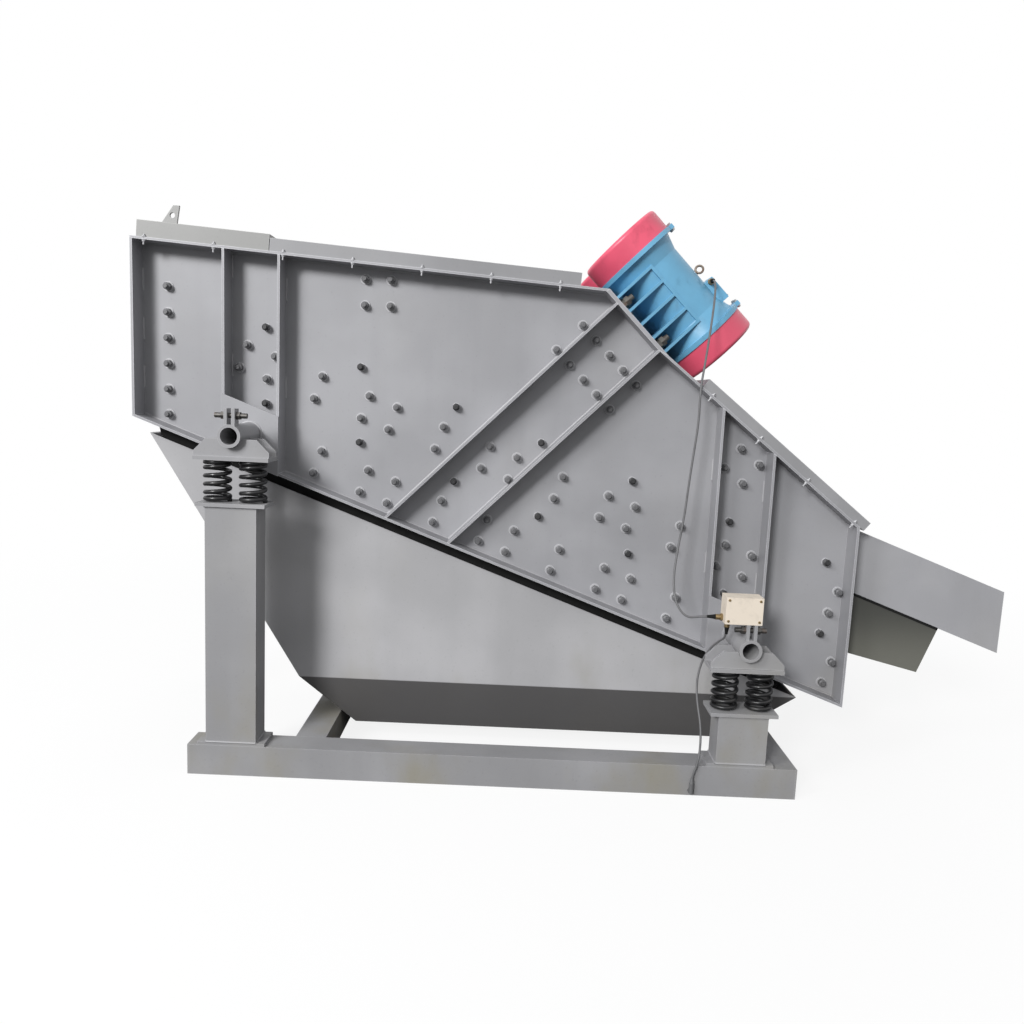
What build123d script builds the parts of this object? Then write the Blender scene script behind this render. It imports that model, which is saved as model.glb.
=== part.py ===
"""Inclined double-deck vibrating sieve: a sprung screen box on four posts over an undersize hopper,
shaken along one line by two counter-rotating unbalance motors on a sloping seat. Millimetres, +Z up,
+X towards the discharge end, -Y towards the near side."""

import os
from math import cos, degrees, radians, sin, tan

from build123d import *

os.makedirs("parts", exist_ok=True)

# Screen box
BOX_LENGTH = 3030.0
BOX_WIDTH = 1200.0
DECK_SLOPE = radians(20.2)
DISCHARGE_BOTTOM_Z = 305.1771
FEED_HEIGHT = 719.0
DISCHARGE_HEIGHT = 785.0
TOP_SLOPE = radians(3.76)
SEAT_SHARE = 0.6373
SEAT_ANGLE = radians(45.0)
SEAT_LENGTH = 361.0
SIDE_PLATE = 10.0
FLANGE = 10.0
FLANGE_DEPTH = 100.0
MOTOR_PLATE = 16.0
RIB = 10.0
RIB_SPACING = 224.0
DRIVE_RIB_INSET = 62.0
DRIVE_RIB_SPACING = 256.0
DRIVE_BEAM_DEPTH = 300.0
DRIVE_BEAM_WALL = 12.0

# Decks, measured square to the slope from the lower edge of the box
LOWER_DECK_RISE = 232.0
DECK_SPACING = 294.0
DECK_START = 125.0
DECK_END_GAP = 72.0
SCREEN_ROD = 10.0
SCREEN_RODS = 24
SCREEN_MARGIN = 24.0
TIE_RODS = 11
STRINGER_HEIGHT = 60.0
STRINGER = 12.0
STRINGER_SHARES = (0.125, 0.375)
BEAM = 100.0
BEAM_WALL = 6.0
BEAM_FLANGE = 12.0
BEAM_FLANGE_LENGTH = 190.0
BEAM_FLANGE_HEIGHT = 170.0
DECK_BEAMS = 5
BEAM_BOLT_ALONG = 124.0
BEAM_BOLT_ACROSS = 100.0
CLAMP_SHARES = (0.173, 0.304, 0.437, 0.557, 0.687, 0.827, 0.969)
CLAMP_RISE = 18.0
CLAMP_RAIL = 30.0
CHUTE_BOLT_INSET = 47.0
TIE_BEAM_SHARE = 0.325
TIE_BEAM_DROP = 108.0
TIE_BOLT_SPACING = 106.0
FEED_WALL = 8.0
FEED_WALL_INSET = 115.0
FEED_WALL_FOOT = 45.0
FEED_BOLTS = 6
FEED_BOLT_FOOT = 8.0
FEED_BOLT_PITCH = 105.0
DRIVE_BOLTS = 5
DRIVE_BOLT_PITCH = 83.5
DRIVE_BOLT_DEPTHS = (166.0, 314.0)

# Covers and chutes
COVER_SHEET = 4.0
COVER_EDGE = 10.0
COVER_HEIGHT = 52.0
INLET_START = 22.0
INLET_LENGTH = 532.0
INLET_HEIGHT = 66.0
INLET_RIM = 80.0
COVER_JOINT = 3.0
COVER_END = 117.0
SLANT_COVER_START = 190.0
SLANT_COVER_OVERHANG = 26.0
SLANT_COVER_HEIGHT = 42.0
LUG_HEIGHT = 78.0
LUG_LENGTH = 66.0
LUG = 12.0
LUG_HOLE = 11.0
LUG_X = 150.0
CHUTE_SHEET = 6.0
CHUTE_FLOOR = 8.0
CHUTE_WALL = 265.0
CHUTE_LAP = 60.0
CHUTE_REACH = 698.0
CHUTE_DROP = 52.0
LOWER_CHUTE_LENGTH = 354.0
LOWER_CHUTE_DROP = 32.0
LOWER_CHUTE_SLOPE = radians(13.5)
LOWER_CHUTE_GAP = 3.0

# Supports
TRUNNION_FEED_INSET = 486.0
TRUNNION_DISCHARGE_INSET = 491.0
TRUNNION_RISE = 121.0
PIPE_D = 89.0
PIPE_BORE = 66.0
PIPE_OVERHANG = 20.0
PAD = 12.0
PAD_HEIGHT = 230.0
POST_WIDTH = 200.0
BEAM_SIZE = 125.0
TUBE_WALL = 6.0
POST_WALL = 8.0
SADDLE_CLEARANCE = 110.5
BASE_FEED_OVERHANG = 175.0
BASE_DISCHARGE_OVERHANG = 233.0
CAP = 6.0
FEED_CROSS_INSET = 294.0
POST_FOOT = 14.0
POST_FOOT_LENGTH = 270.0
SPRING_SEAT = 14.0
SPRING_SEAT_LENGTH = 270.0
SPRING_SEAT_WIDTH = 145.0
SPRING_D = 110.0
SPRING_WIRE = 17.0
SPRING_HEIGHT = 165.0
SPRING_TURNS = 5.0
SPRING_SPACING = 140.0
SPRING_GAP = 0.3
SADDLE_PLATE = 16.0
SADDLE_LENGTH = 292.0
SADDLE_WIDTH = 130.0
SADDLE_DROP = 80.0
GUSSET = 12.0
GUSSET_HEIGHT = 68.0
GUSSET_TOP = 196.0
GUSSET_SIDE = 20.0
GUSSET_SPACING = 96.0
FIT = 0.1
EAR = 12.0
EAR_GAP = 18.0
EAR_WIDTH = 50.0
EAR_TOP = 105.0
EAR_INSET = 6.0
CLAMP_BOLT_D = 20.0
CLAMP_BOLT_RISE = 78.0
CLAMP_BOLT_REACH = 62.0

# Hopper under the decks
HOPPER_SHEET = 6.0
HOPPER_MARGIN = 20.0
HOPPER_GAP = 54.0
HOPPER_TIP_INSET = 34.0
HOPPER_KNEE_Z = 310.0
HOPPER_OUTLET_Z = 75.0
HOPPER_TAPER = 100.0
HOPPER_FEED_CLEARANCE = 66.5
HOPPER_DISCHARGE_CLEARANCE = 61.0
BRACKET = 12.0
BRACKET_SHARE = 0.25
BRACKET_FOOT = 90.0

# Motors, with the axis along the seat
MOTOR_SHARE = 0.25
MOTOR_AXIS_HEIGHT = 231.0
MOTOR_ALONG_SEAT = 200.0
MOTOR_HALF = 234.0
MOTOR_END_FLANGE = 20.0
MOTOR_FLANGE_R = 200.0
MOTOR_R = 160.0
MOTOR_FLARE_R = 180.0
MOTOR_FLARE = 70.0
MOTOR_BORE_R = 130.0
MOTOR_BELL = 30.0
COVER_R = 195.0
COVER_LENGTH = 101.0
COVER_ROUND = 18.0
COVER_WALL = 4.0
TAB_REACH = 218.0
TAB_WIDTH = 60.0
FOOT = 26.0
FOOT_LENGTH = 320.0
FOOT_INNER = 70.0
FOOT_OUTER = 195.0
FOOT_RIBS = 5
FOOT_RIB = 12.0
FOOT_BOLT_ALONG = 231.0
FOOT_BOLT_ACROSS = 330.0
BEARING_R = 55.0
BEARING_LENGTH = 26.0
SHAFT_R = 30.0
SHAFT_STUB_R = 25.0
RUNNING_FIT = 0.08
ROTOR_R = 95.0
ROTOR_GAP = 1.0
CORE_LENGTH = 220.0
WEIGHT_R = 165.0
WEIGHT_HUB_R = 45.0
WEIGHT_GAP = 8.0
WEIGHT_LENGTH = 70.0
TERMINAL_START = 58.0
TERMINAL_LENGTH = 115.0
TERMINAL_WIDTH = 120.0
TERMINAL_TOP = 192.0
TERMINAL_FOOT = 140.0
EYE_R = 22.0
EYE_HOLE_R = 12.0
EYE = 10.0
EYE_SHANK = 26.0

# Electrics
JUNCTION_LENGTH = 146.0
JUNCTION_HEIGHT = 108.0
JUNCTION_DEPTH = 70.0
JUNCTION_LID = 10.0
JUNCTION_SHIFT = 36.0
JUNCTION_WALL = 4.0
GLAND_R = 11.0
GLAND_LENGTH = 28.0
GLAND_NUT_R = 15.0
GLAND_NUT = 9.0
CABLE_D = 9.0
CABLE_FIT = 0.3
ELBOW_R = 9.0
ELBOW_STUB_R = 8.0
ELBOW_STAND = 11.0
ELBOW_RISE = 22.0
ELBOW_SOCKET = 34.0
ELBOW_BORE = 24.0
ELBOW_NUT_R = 14.0
ELBOW_NUT = 4.0
MOTOR_GLAND_ALONG = 72.0
MOTOR_GLAND_RADIUS = 173.5
BOX_GLAND_INSET = 55.0
BOX_GLAND_RISE = 16.0
SUPPLY_GLAND_SHIFT = -83.0
SUPPLY_GLAND_INSET = 75.0
# Cable routes: from the motor's gland, from the discharge trunnion at the flange, and from the box's gland
CABLE_FROM_MOTOR = ((0, -52, 0), (-7, -112, -51), (-23, -172, -141), (-43, -230, -246))
CABLE_AT_FLANGE = (
    (-197, 30, 1125), (-219, -16, 1015), (-217, -22, 885), (-229, -23, 755), (-241, -27, 625), (-251, -32, 485),
    (-273, -45, 345), (-287, -75, 230),
)
CABLE_TO_BOX = ((-141, 101, 22), (-108, 37, -20), (-54, 0, 0))
# Supply route: from the box's gland, and from the floor under the trunnion at the front of the base
SUPPLY_FROM_BOX = (
    (0, 0, -42), (-14, 41, -70), (-38, 83, -112), (-64, 99, -172), (-80, 93, -237), (-85, 73, -294), (-83, 37, -349),
    (-75, 3, -409),
)
SUPPLY_AT_BASE = (
    (-159, 28, 226), (-167, -2, 176), (-176, -11, 132), (-187, -11, 100), (-192, -11, 74), (-192, -11, 34),
)

# Bolts, as the hexagon of a nut across its corners
NUT_R = 16.0
NUT = 24.0
FOOT_NUT_R = 24.0

# Worked out from the sizes above
OVERALL_LENGTH = BOX_LENGTH + CHUTE_REACH
FEED_X = -OVERALL_LENGTH / 2
DISCHARGE_X = FEED_X + BOX_LENGTH
FEED_BOTTOM_Z = DISCHARGE_BOTTOM_Z + BOX_LENGTH * tan(DECK_SLOPE)
SEAT_X = FEED_X + BOX_LENGTH * SEAT_SHARE
UPPER_DECK_RISE = LOWER_DECK_RISE + DECK_SPACING
INNER_Y = BOX_WIDTH / 2
PLATE_Y = INNER_Y + SIDE_PLATE
FLANGE_Y = PLATE_Y + FLANGE_DEPTH
PAD_Y = FLANGE_Y + PAD
POST_Y = PAD_Y + SADDLE_CLEARANCE + SADDLE_WIDTH / 2
BASE_HALF_WIDTH = POST_Y + BEAM_SIZE / 2
PIPE_END_Y = BASE_HALF_WIDTH + PIPE_OVERHANG
MOTOR_Y = BOX_WIDTH * MOTOR_SHARE
COVER_Y = FLANGE_Y - COVER_EDGE
ALONG = (cos(SEAT_ANGLE), -sin(SEAT_ANGLE))
THROW = (sin(SEAT_ANGLE), cos(SEAT_ANGLE))
TRUNNION_X = (FEED_X + TRUNNION_FEED_INSET, DISCHARGE_X - TRUNNION_DISCHARGE_INSET)
BASE_LEFT = TRUNNION_X[0] - BASE_FEED_OVERHANG
BASE_LENGTH = TRUNNION_X[1] + BASE_DISCHARGE_OVERHANG - BASE_LEFT
FEED_CROSS_X = TRUNNION_X[0] + FEED_CROSS_INSET
DISCHARGE_CROSS_X = BASE_LEFT + BASE_LENGTH - BEAM_SIZE / 2
SIDES = (-1, 1)


def bottom_z(x, rise=0.0):
    """Height of the line that runs parallel to the lower edge of the box, rise above it."""
    return FEED_BOTTOM_Z - (x - FEED_X) * tan(DECK_SLOPE) + rise / cos(DECK_SLOPE)


def top_z(x):
    """Height of the top edge of the box over the feed end."""
    return FEED_BOTTOM_Z + FEED_HEIGHT - (x - FEED_X) * tan(TOP_SLOPE)


def seat_point(along, depth):
    """Point on the motor seat, along it from its upper end and depth below its face."""
    x = SEAT_X + along * ALONG[0] - depth * THROW[0]
    z = top_z(SEAT_X) + along * ALONG[1] - depth * THROW[1]
    return (x, z)


def cross(p, u, q, v):
    """Point where the line through p along u meets the line through q along v."""
    t = ((q[0] - p[0]) * v[1] - (q[1] - p[1]) * v[0]) / (u[0] * v[1] - u[1] * v[0])
    return (p[0] + t * u[0], p[1] + t * u[1])


def inset(points, distances):
    """Corners of a clockwise outline with each edge moved inwards by its own distance."""
    lines = []
    for i, start in enumerate(points):
        end = points[(i + 1) % len(points)]
        step = Vector(end[0] - start[0], end[1] - start[1]).normalized()
        moved = (start[0] + distances[i] * step.Y, start[1] - distances[i] * step.X)
        lines.append((moved, (step.X, step.Y)))
    return [cross(*lines[i - 1], *lines[i]) for i in range(len(lines))]


def face(points):
    """Polygon with its corners where they are given."""
    return Polygon(*points, align=None)


def side(y):
    """Upright plane facing the near side, at distance y in front of the middle of the machine."""
    return Plane.XZ.offset(y)


def sloped(x, rise):
    """Upright plane with its first axis down the deck, at x and rise above the lower edge."""
    slope_dir = (cos(DECK_SLOPE), 0, -sin(DECK_SLOPE))
    return Plane(origin=(x, 0, bottom_z(x, rise)), x_dir=slope_dir, z_dir=(0, -1, 0))


def band(x0, x1, low, high):
    """Strip along the deck between two heights above the lower edge, with upright ends."""
    return [(x0, bottom_z(x0, low)), (x1, bottom_z(x1, low)), (x1, bottom_z(x1, high)), (x0, bottom_z(x0, high))]


def write(piece, name):
    """Label a finished piece and write it."""
    piece.part.label = name
    export_step(piece.part, f"parts/{name}.step")


def write_set(pieces, name):
    """Write pieces that touch, such as welded bars, as separate solids under one name."""
    solids = [solid for piece in pieces for solid in piece.part.solids()]
    export_step(Compound(label=name, children=solids), f"parts/{name}.step")


def far_copy(piece):
    """The same piece on the far side."""
    with BuildPart() as copy:
        mirror(piece.part, about=Plane.XZ)
    return copy


# Side plates, with flanges round their edges and ribs outside them
outline = [
    (FEED_X, top_z(FEED_X)),
    seat_point(0, 0),
    seat_point(SEAT_LENGTH, 0),
    (DISCHARGE_X, bottom_z(DISCHARGE_X) + DISCHARGE_HEIGHT),
    (DISCHARGE_X, bottom_z(DISCHARGE_X)),
    (FEED_X, bottom_z(FEED_X)),
]
seat_edge = outline.index(seat_point(0, 0))
edge_depths = [MOTOR_PLATE if i == seat_edge else FLANGE for i in range(len(outline))]
plate_outline = inset(outline, edge_depths)


def edge_bar(i):
    """Section of the bar along one edge of the outline, mitred at both ends."""
    j = (i + 1) % len(outline)
    return [outline[i], outline[j], plate_outline[j], plate_outline[i]]


with BuildPart() as side_plate_near:
    with BuildSketch(side(INNER_Y)):
        face(plate_outline)
    extrude(amount=SIDE_PLATE)
write(side_plate_near, "side_plate_near")

write(far_copy(side_plate_near), "side_plate_far")

bars = []
for i in range(len(outline)):
    if i != seat_edge:
        with BuildPart() as bar:
            with BuildSketch(side(INNER_Y)):
                face(edge_bar(i))
            extrude(amount=SIDE_PLATE + FLANGE_DEPTH)
        bars.append(bar)
write_set(bars, "edge_flanges_near")
write_set([far_copy(bar) for bar in bars], "edge_flanges_far")

with BuildPart() as side_ribs_near:
    with BuildSketch(side(PLATE_Y)):
        for x in TRUNNION_X:
            with Locations((x - RIB_SPACING / 2, FEED_BOTTOM_Z), (x + RIB_SPACING / 2, FEED_BOTTOM_Z)):
                Rectangle(RIB, OVERALL_LENGTH)
        with Locations(seat_point(DRIVE_RIB_INSET, 0), seat_point(DRIVE_RIB_INSET + DRIVE_RIB_SPACING, 0)):
            Rectangle(RIB, OVERALL_LENGTH, rotation=-degrees(SEAT_ANGLE))
        Polygon(*plate_outline, align=None, mode=Mode.INTERSECT)
    extrude(amount=FLANGE_DEPTH)
write(side_ribs_near, "side_ribs_near")
write(far_copy(side_ribs_near), "side_ribs_far")

# Motor seat plate and the channel beam under it
with BuildPart() as motor_plate:
    with BuildSketch(Plane.XZ):
        face(edge_bar(seat_edge))
    extrude(amount=FLANGE_Y, both=True)
write(motor_plate, "motor_plate")

beam_start = DRIVE_RIB_INSET - DRIVE_BEAM_WALL / 2
beam_end = beam_start + DRIVE_RIB_SPACING + DRIVE_BEAM_WALL
with BuildPart() as drive_beam:
    with BuildSketch(Plane.XZ):
        face([seat_point(s, d) for s, d in ((beam_start, MOTOR_PLATE), (beam_end, MOTOR_PLATE),
              (beam_end, DRIVE_BEAM_DEPTH), (beam_start, DRIVE_BEAM_DEPTH))])
        hollow_start = beam_start + DRIVE_BEAM_WALL
        hollow_end = beam_end - DRIVE_BEAM_WALL
        hollow_depth = DRIVE_BEAM_DEPTH - DRIVE_BEAM_WALL
        hollow = [seat_point(s, d) for s, d in ((hollow_start, MOTOR_PLATE), (hollow_end, MOTOR_PLATE),
                  (hollow_end, hollow_depth), (hollow_start, hollow_depth))]
        Polygon(*hollow, align=None, mode=Mode.SUBTRACT)
    extrude(amount=INNER_Y, both=True)
write(drive_beam, "drive_beam")


# Decks: cross beams bolted between the side plates, stringers on them and rod screens on top
def beam_rise(deck_rise):
    """Height of a deck's cross beams, at their middle."""
    return deck_rise - 2 * SCREEN_ROD - STRINGER_HEIGHT - BEAM / 2


def cross_beam(plane):
    """Square tube between two bolting flanges."""
    with BuildPart() as beam:
        with BuildSketch(plane):
            Rectangle(BEAM, BEAM)
            Rectangle(BEAM - 2 * BEAM_WALL, BEAM - 2 * BEAM_WALL, mode=Mode.SUBTRACT)
        extrude(amount=INNER_Y - BEAM_FLANGE, both=True)
    with BuildPart() as flanges:
        with BuildSketch(plane.offset(INNER_Y), plane.offset(BEAM_FLANGE - INNER_Y)):
            Rectangle(BEAM_FLANGE_LENGTH, BEAM_FLANGE_HEIGHT)
            Rectangle(BEAM - 2 * BEAM_WALL, BEAM - 2 * BEAM_WALL, mode=Mode.SUBTRACT)
        extrude(amount=-BEAM_FLANGE)
    return [beam, flanges]


beam_pitch = (TRUNNION_X[1] - TRUNNION_X[0]) / (DECK_BEAMS - 1)
beam_x = [TRUNNION_X[0] + i * beam_pitch for i in range(DECK_BEAMS)]
upper_planes = [sloped(x, beam_rise(UPPER_DECK_RISE)) for x in beam_x]
lower_planes = [sloped(x, beam_rise(LOWER_DECK_RISE)) for x in beam_x]
tie_x = FEED_X + BOX_LENGTH * TIE_BEAM_SHARE
tie_plane = Plane(origin=(tie_x, 0, top_z(tie_x) - TIE_BEAM_DROP), x_dir=(1, 0, 0), z_dir=(0, -1, 0))
write_set([piece for plane in upper_planes + [tie_plane] for piece in cross_beam(plane)], "upper_cross_beams")
write_set([piece for plane in lower_planes for piece in cross_beam(plane)], "lower_cross_beams")

deck_x = (FEED_X + DECK_START, DISCHARGE_X - DECK_END_GAP)
stringer_planes = [side(s * share * BOX_WIDTH) for share in STRINGER_SHARES for s in SIDES]
with BuildPart() as deck_stringers:
    for deck_rise in (UPPER_DECK_RISE, LOWER_DECK_RISE):
        stringer_top = deck_rise - 2 * SCREEN_ROD
        with BuildSketch(*stringer_planes):
            face(band(*deck_x, stringer_top - STRINGER_HEIGHT, stringer_top))
        extrude(amount=STRINGER / 2, both=True)
        with BuildSketch(side(INNER_Y - CLAMP_RAIL), side(-INNER_Y)):
            face(band(*deck_x, deck_rise - SCREEN_ROD, deck_rise + 2 * CLAMP_RISE))
        extrude(amount=CLAMP_RAIL)
write(deck_stringers, "deck_stringers")


def screen(deck_rise):
    """Rods down the slope, lying on rods across it."""
    rod_pitch = (BOX_WIDTH - 2 * SCREEN_MARGIN) / SCREEN_RODS
    first_rod = -rod_pitch * (SCREEN_RODS - 1) / 2
    rods = []
    with BuildPart() as long_rods:
        with BuildSketch(*[side(first_rod + i * rod_pitch) for i in range(SCREEN_RODS)]):
            face(band(*deck_x, deck_rise - SCREEN_ROD, deck_rise))
        extrude(amount=SCREEN_ROD / 2, both=True)
    rods.append(long_rods)
    tie_pitch = (deck_x[1] - deck_x[0] - SCREEN_ROD) / (TIE_RODS - 1)
    with BuildPart() as tie_rods:
        with BuildSketch(Plane.XZ):
            for i in range(TIE_RODS):
                x = deck_x[0] + i * tie_pitch
                face(band(x, x + SCREEN_ROD, deck_rise - 2 * SCREEN_ROD, deck_rise - SCREEN_ROD))
        extrude(amount=INNER_Y - SCREEN_MARGIN, both=True)
    rods.append(tie_rods)
    return rods


write_set(screen(UPPER_DECK_RISE), "upper_screen")
write_set(screen(LOWER_DECK_RISE), "lower_screen")

feed_wall_x = FEED_X + FEED_WALL_INSET
with BuildPart() as feed_end_wall:
    with BuildSketch(Plane.XZ):
        wall_back = feed_wall_x - FEED_WALL
        face([(wall_back, bottom_z(wall_back) + FEED_WALL_FOOT), (feed_wall_x, bottom_z(wall_back) + FEED_WALL_FOOT),
              (feed_wall_x, top_z(feed_wall_x)), (wall_back, top_z(wall_back))])
    extrude(amount=INNER_Y, both=True)
write(feed_end_wall, "feed_end_wall")


# Nuts on the outside of the side plates
def nuts(plane, spots, radius=NUT_R):
    """Hexagon nuts standing on a plane."""
    with BuildPart() as piece:
        with BuildSketch(plane):
            with Locations(*spots):
                RegularPolygon(radius=radius, side_count=6)
        extrude(amount=NUT)
    return piece


def square_spots(along, across):
    """Four bolt places about a middle."""
    return [(i * along / 2, j * across / 2) for i in SIDES for j in SIDES]


side_bolts = []
for deck_rise, planes in ((UPPER_DECK_RISE, upper_planes), (LOWER_DECK_RISE, lower_planes)):
    for plane in planes:
        side_bolts.append(nuts(plane.offset(PLATE_Y), square_spots(BEAM_BOLT_ALONG, BEAM_BOLT_ACROSS)))
    between = [x + beam_pitch / 2 for x in beam_x[:-1]] + [DISCHARGE_X - CHUTE_BOLT_INSET]
    for x in between:
        plane = sloped(x, beam_rise(deck_rise)).offset(PLATE_Y)
        side_bolts.append(nuts(plane, [(0, s * BEAM_BOLT_ACROSS / 2) for s in SIDES]))
    for share in CLAMP_SHARES:
        plane = sloped(FEED_X + share * BOX_LENGTH, deck_rise + CLAMP_RISE).offset(PLATE_Y)
        side_bolts.append(nuts(plane, [(0, 0)]))
side_bolts.append(nuts(tie_plane.offset(PLATE_Y), square_spots(TIE_BOLT_SPACING, TIE_BOLT_SPACING)))
feed_bolt_z = bottom_z(feed_wall_x) + FEED_WALL_FOOT + FEED_BOLT_FOOT
side_bolts.append(nuts(side(PLATE_Y), [(feed_wall_x, feed_bolt_z + i * FEED_BOLT_PITCH) for i in range(FEED_BOLTS)]))
drive_start = MOTOR_ALONG_SEAT - DRIVE_BOLT_PITCH * (DRIVE_BOLTS - 1) / 2
drive_spots = [(drive_start + i * DRIVE_BOLT_PITCH, depth) for i in range(DRIVE_BOLTS) for depth in DRIVE_BOLT_DEPTHS]
side_bolts.append(nuts(side(PLATE_Y), [seat_point(*spot) for spot in drive_spots]))
write_set(side_bolts, "side_bolts_near")
write_set([far_copy(piece) for piece in side_bolts], "side_bolts_far")


# Covers on the flanges: an open feed inlet, a lid and a lid on the slant
def lid_frame(start, end, height):
    """Corners of a lid's side, standing on the line from start to end."""
    step = Vector(end[0] - start[0], end[1] - start[1]).normalized()
    up = (-step.Y * height, step.X * height)
    return [start, end, (end[0] + up[0], end[1] + up[1]), (start[0] + up[0], start[1] + up[1])]


def lid(start, end, height):
    """Shallow box, open below, as wide as the flanges less a margin."""
    step = Vector(end[0] - start[0], end[1] - start[1]).normalized() * COVER_SHEET
    inner_start = (start[0] + step.X, start[1] + step.Y)
    inner_end = (end[0] - step.X, end[1] - step.Y)
    with BuildPart() as cover:
        with BuildSketch(Plane.XZ):
            face(lid_frame(start, end, height))
        extrude(amount=COVER_Y, both=True)
        with BuildSketch(Plane.XZ):
            face(lid_frame(inner_start, inner_end, height - COVER_SHEET))
        extrude(amount=COVER_Y - COVER_SHEET, both=True, mode=Mode.SUBTRACT)
    return cover


inlet_x = (FEED_X + INLET_START, FEED_X + INLET_START + INLET_LENGTH)
inlet_box = lid((inlet_x[0], top_z(inlet_x[0])), (inlet_x[1], top_z(inlet_x[1])), INLET_HEIGHT)
lug_x = inlet_x[0] + LUG_X
lug_z = top_z(lug_x) + INLET_HEIGHT - COVER_SHEET / 2
with BuildPart() as feed_inlet:
    add(inlet_box.part)
    with BuildSketch(Plane.XY.offset(lug_z)):
        with Locations(((inlet_x[0] + inlet_x[1]) / 2, 0)):
            Rectangle(INLET_LENGTH - 2 * INLET_RIM, 2 * (COVER_Y - 2 * INLET_RIM))
    extrude(amount=INLET_HEIGHT / 2, both=True, mode=Mode.SUBTRACT)
    with BuildSketch(side(COVER_Y - INLET_RIM / 2), side(INLET_RIM / 2 - COVER_Y)):
        face([(lug_x - LUG_LENGTH, lug_z), (lug_x, lug_z), (lug_x + LUG, lug_z + LUG_HEIGHT),
              (lug_x - LUG, lug_z + LUG_HEIGHT)])
        with Locations((lug_x - LUG_LENGTH / 4, lug_z + LUG_HEIGHT / 2)):
            Circle(LUG_HOLE, mode=Mode.SUBTRACT)
    extrude(amount=LUG / 2, both=True)
write(feed_inlet, "feed_inlet")

lid_x = (inlet_x[1] + COVER_JOINT, SEAT_X - COVER_END)
top_cover = lid((lid_x[0], top_z(lid_x[0])), (lid_x[1], top_z(lid_x[1])), COVER_HEIGHT)
write(top_cover, "top_cover")

slant_start, slant_end = Vector(*outline[2]), Vector(*outline[3])
slant_step = (slant_end - slant_start).normalized()
slant_from = slant_start + slant_step * SLANT_COVER_START
slant_to = slant_end + slant_step * SLANT_COVER_OVERHANG
discharge_cover = lid((slant_from.X, slant_from.Y), (slant_to.X, slant_to.Y), SLANT_COVER_HEIGHT)
write(discharge_cover, "discharge_cover")

# Discharge chutes
chute_x = (DISCHARGE_X - CHUTE_LAP, -FEED_X)
chute_rise = UPPER_DECK_RISE - CHUTE_DROP
wall_low = chute_rise - CHUTE_FLOOR
wall_high = chute_rise + CHUTE_WALL * cos(DECK_SLOPE)
with BuildPart() as upper_chute:
    with BuildSketch(Plane.XZ):
        face(band(*chute_x, wall_low, wall_high))
    extrude(amount=INNER_Y, both=True)
    with BuildSketch(Plane.XZ):
        face(band(chute_x[0], chute_x[1], chute_rise, 2 * wall_high))
    extrude(amount=INNER_Y - CHUTE_SHEET, both=True, mode=Mode.SUBTRACT)
write(upper_chute, "upper_chute")


def lower_chute_profile(floor):
    """Side of the lower chute above its floor plate's given thickness."""
    start = (chute_x[0], bottom_z(chute_x[0], LOWER_DECK_RISE) - LOWER_CHUTE_DROP + floor)
    foot_x = DISCHARGE_X + LOWER_CHUTE_LENGTH
    foot = (foot_x, start[1] - (foot_x - start[0]) * tan(LOWER_CHUTE_SLOPE))
    roof = wall_low - LOWER_CHUTE_GAP
    roof_line = ((chute_x[0], bottom_z(chute_x[0], roof)), (cos(DECK_SLOPE), -sin(DECK_SLOPE)))
    corner = cross(foot, (sin(DECK_SLOPE), cos(DECK_SLOPE)), *roof_line)
    return [start, foot, corner, roof_line[0]]


with BuildPart() as lower_chute:
    with BuildSketch(Plane.XZ):
        face(lower_chute_profile(0))
    extrude(amount=INNER_Y, both=True)
    with BuildSketch(Plane.XZ):
        start, foot, corner, roof = lower_chute_profile(CHUTE_FLOOR)
        face([start, (foot[0] + CHUTE_WALL, foot[1] - CHUTE_WALL * tan(LOWER_CHUTE_SLOPE)),
              (corner[0] + CHUTE_WALL, corner[1] + CHUTE_WALL), (roof[0], roof[1] + CHUTE_WALL)])
    extrude(amount=INNER_Y - CHUTE_SHEET, both=True, mode=Mode.SUBTRACT)
write(lower_chute, "lower_chute")

# Trunnions on the box, each with a saddle that stands on two springs
trunnions = [(x, bottom_z(x, TRUNNION_RISE)) for x in TRUNNION_X]
with BuildPart() as trunnion_pads:
    with BuildSketch(side(FLANGE_Y), side(-PAD_Y)):
        for x in TRUNNION_X:
            face(band(x - RIB_SPACING / 2 - RIB / 2, x + RIB_SPACING / 2 + RIB / 2, 0, PAD_HEIGHT))
    extrude(amount=PAD)
write(trunnion_pads, "trunnion_pads")

with BuildPart() as trunnion_pipes:
    with BuildSketch(side(PAD_Y), side(-PIPE_END_Y)):
        with Locations(*trunnions):
            Circle(PIPE_D / 2)
            Circle(PIPE_BORE / 2, mode=Mode.SUBTRACT)
    extrude(amount=PIPE_END_Y - PAD_Y)
write(trunnion_pipes, "trunnion_pipes")


def saddle(x, z, y):
    """Spring plate with two notched gussets that carry a trunnion pipe."""
    plate_top = z - SADDLE_DROP
    half = SADDLE_LENGTH / 2
    gussets = [side(-y + s * GUSSET_SPACING / 2) for s in SIDES]
    with BuildPart() as piece:
        with BuildSketch(Plane.XY.offset(plate_top)):
            with Locations((x, y)):
                Rectangle(SADDLE_LENGTH, SADDLE_WIDTH)
        extrude(amount=-SADDLE_PLATE)
        with BuildSketch(*gussets):
            face([(x - half, plate_top), (x + half, plate_top), (x + half, plate_top + GUSSET_SIDE),
                  (x + GUSSET_TOP / 2, plate_top + GUSSET_HEIGHT), (x - GUSSET_TOP / 2, plate_top + GUSSET_HEIGHT),
                  (x - half, plate_top + GUSSET_SIDE)])
            with Locations((x, z)):
                Circle(PIPE_D / 2 + FIT, mode=Mode.SUBTRACT)
        extrude(amount=GUSSET / 2, both=True)
    return piece


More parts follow.
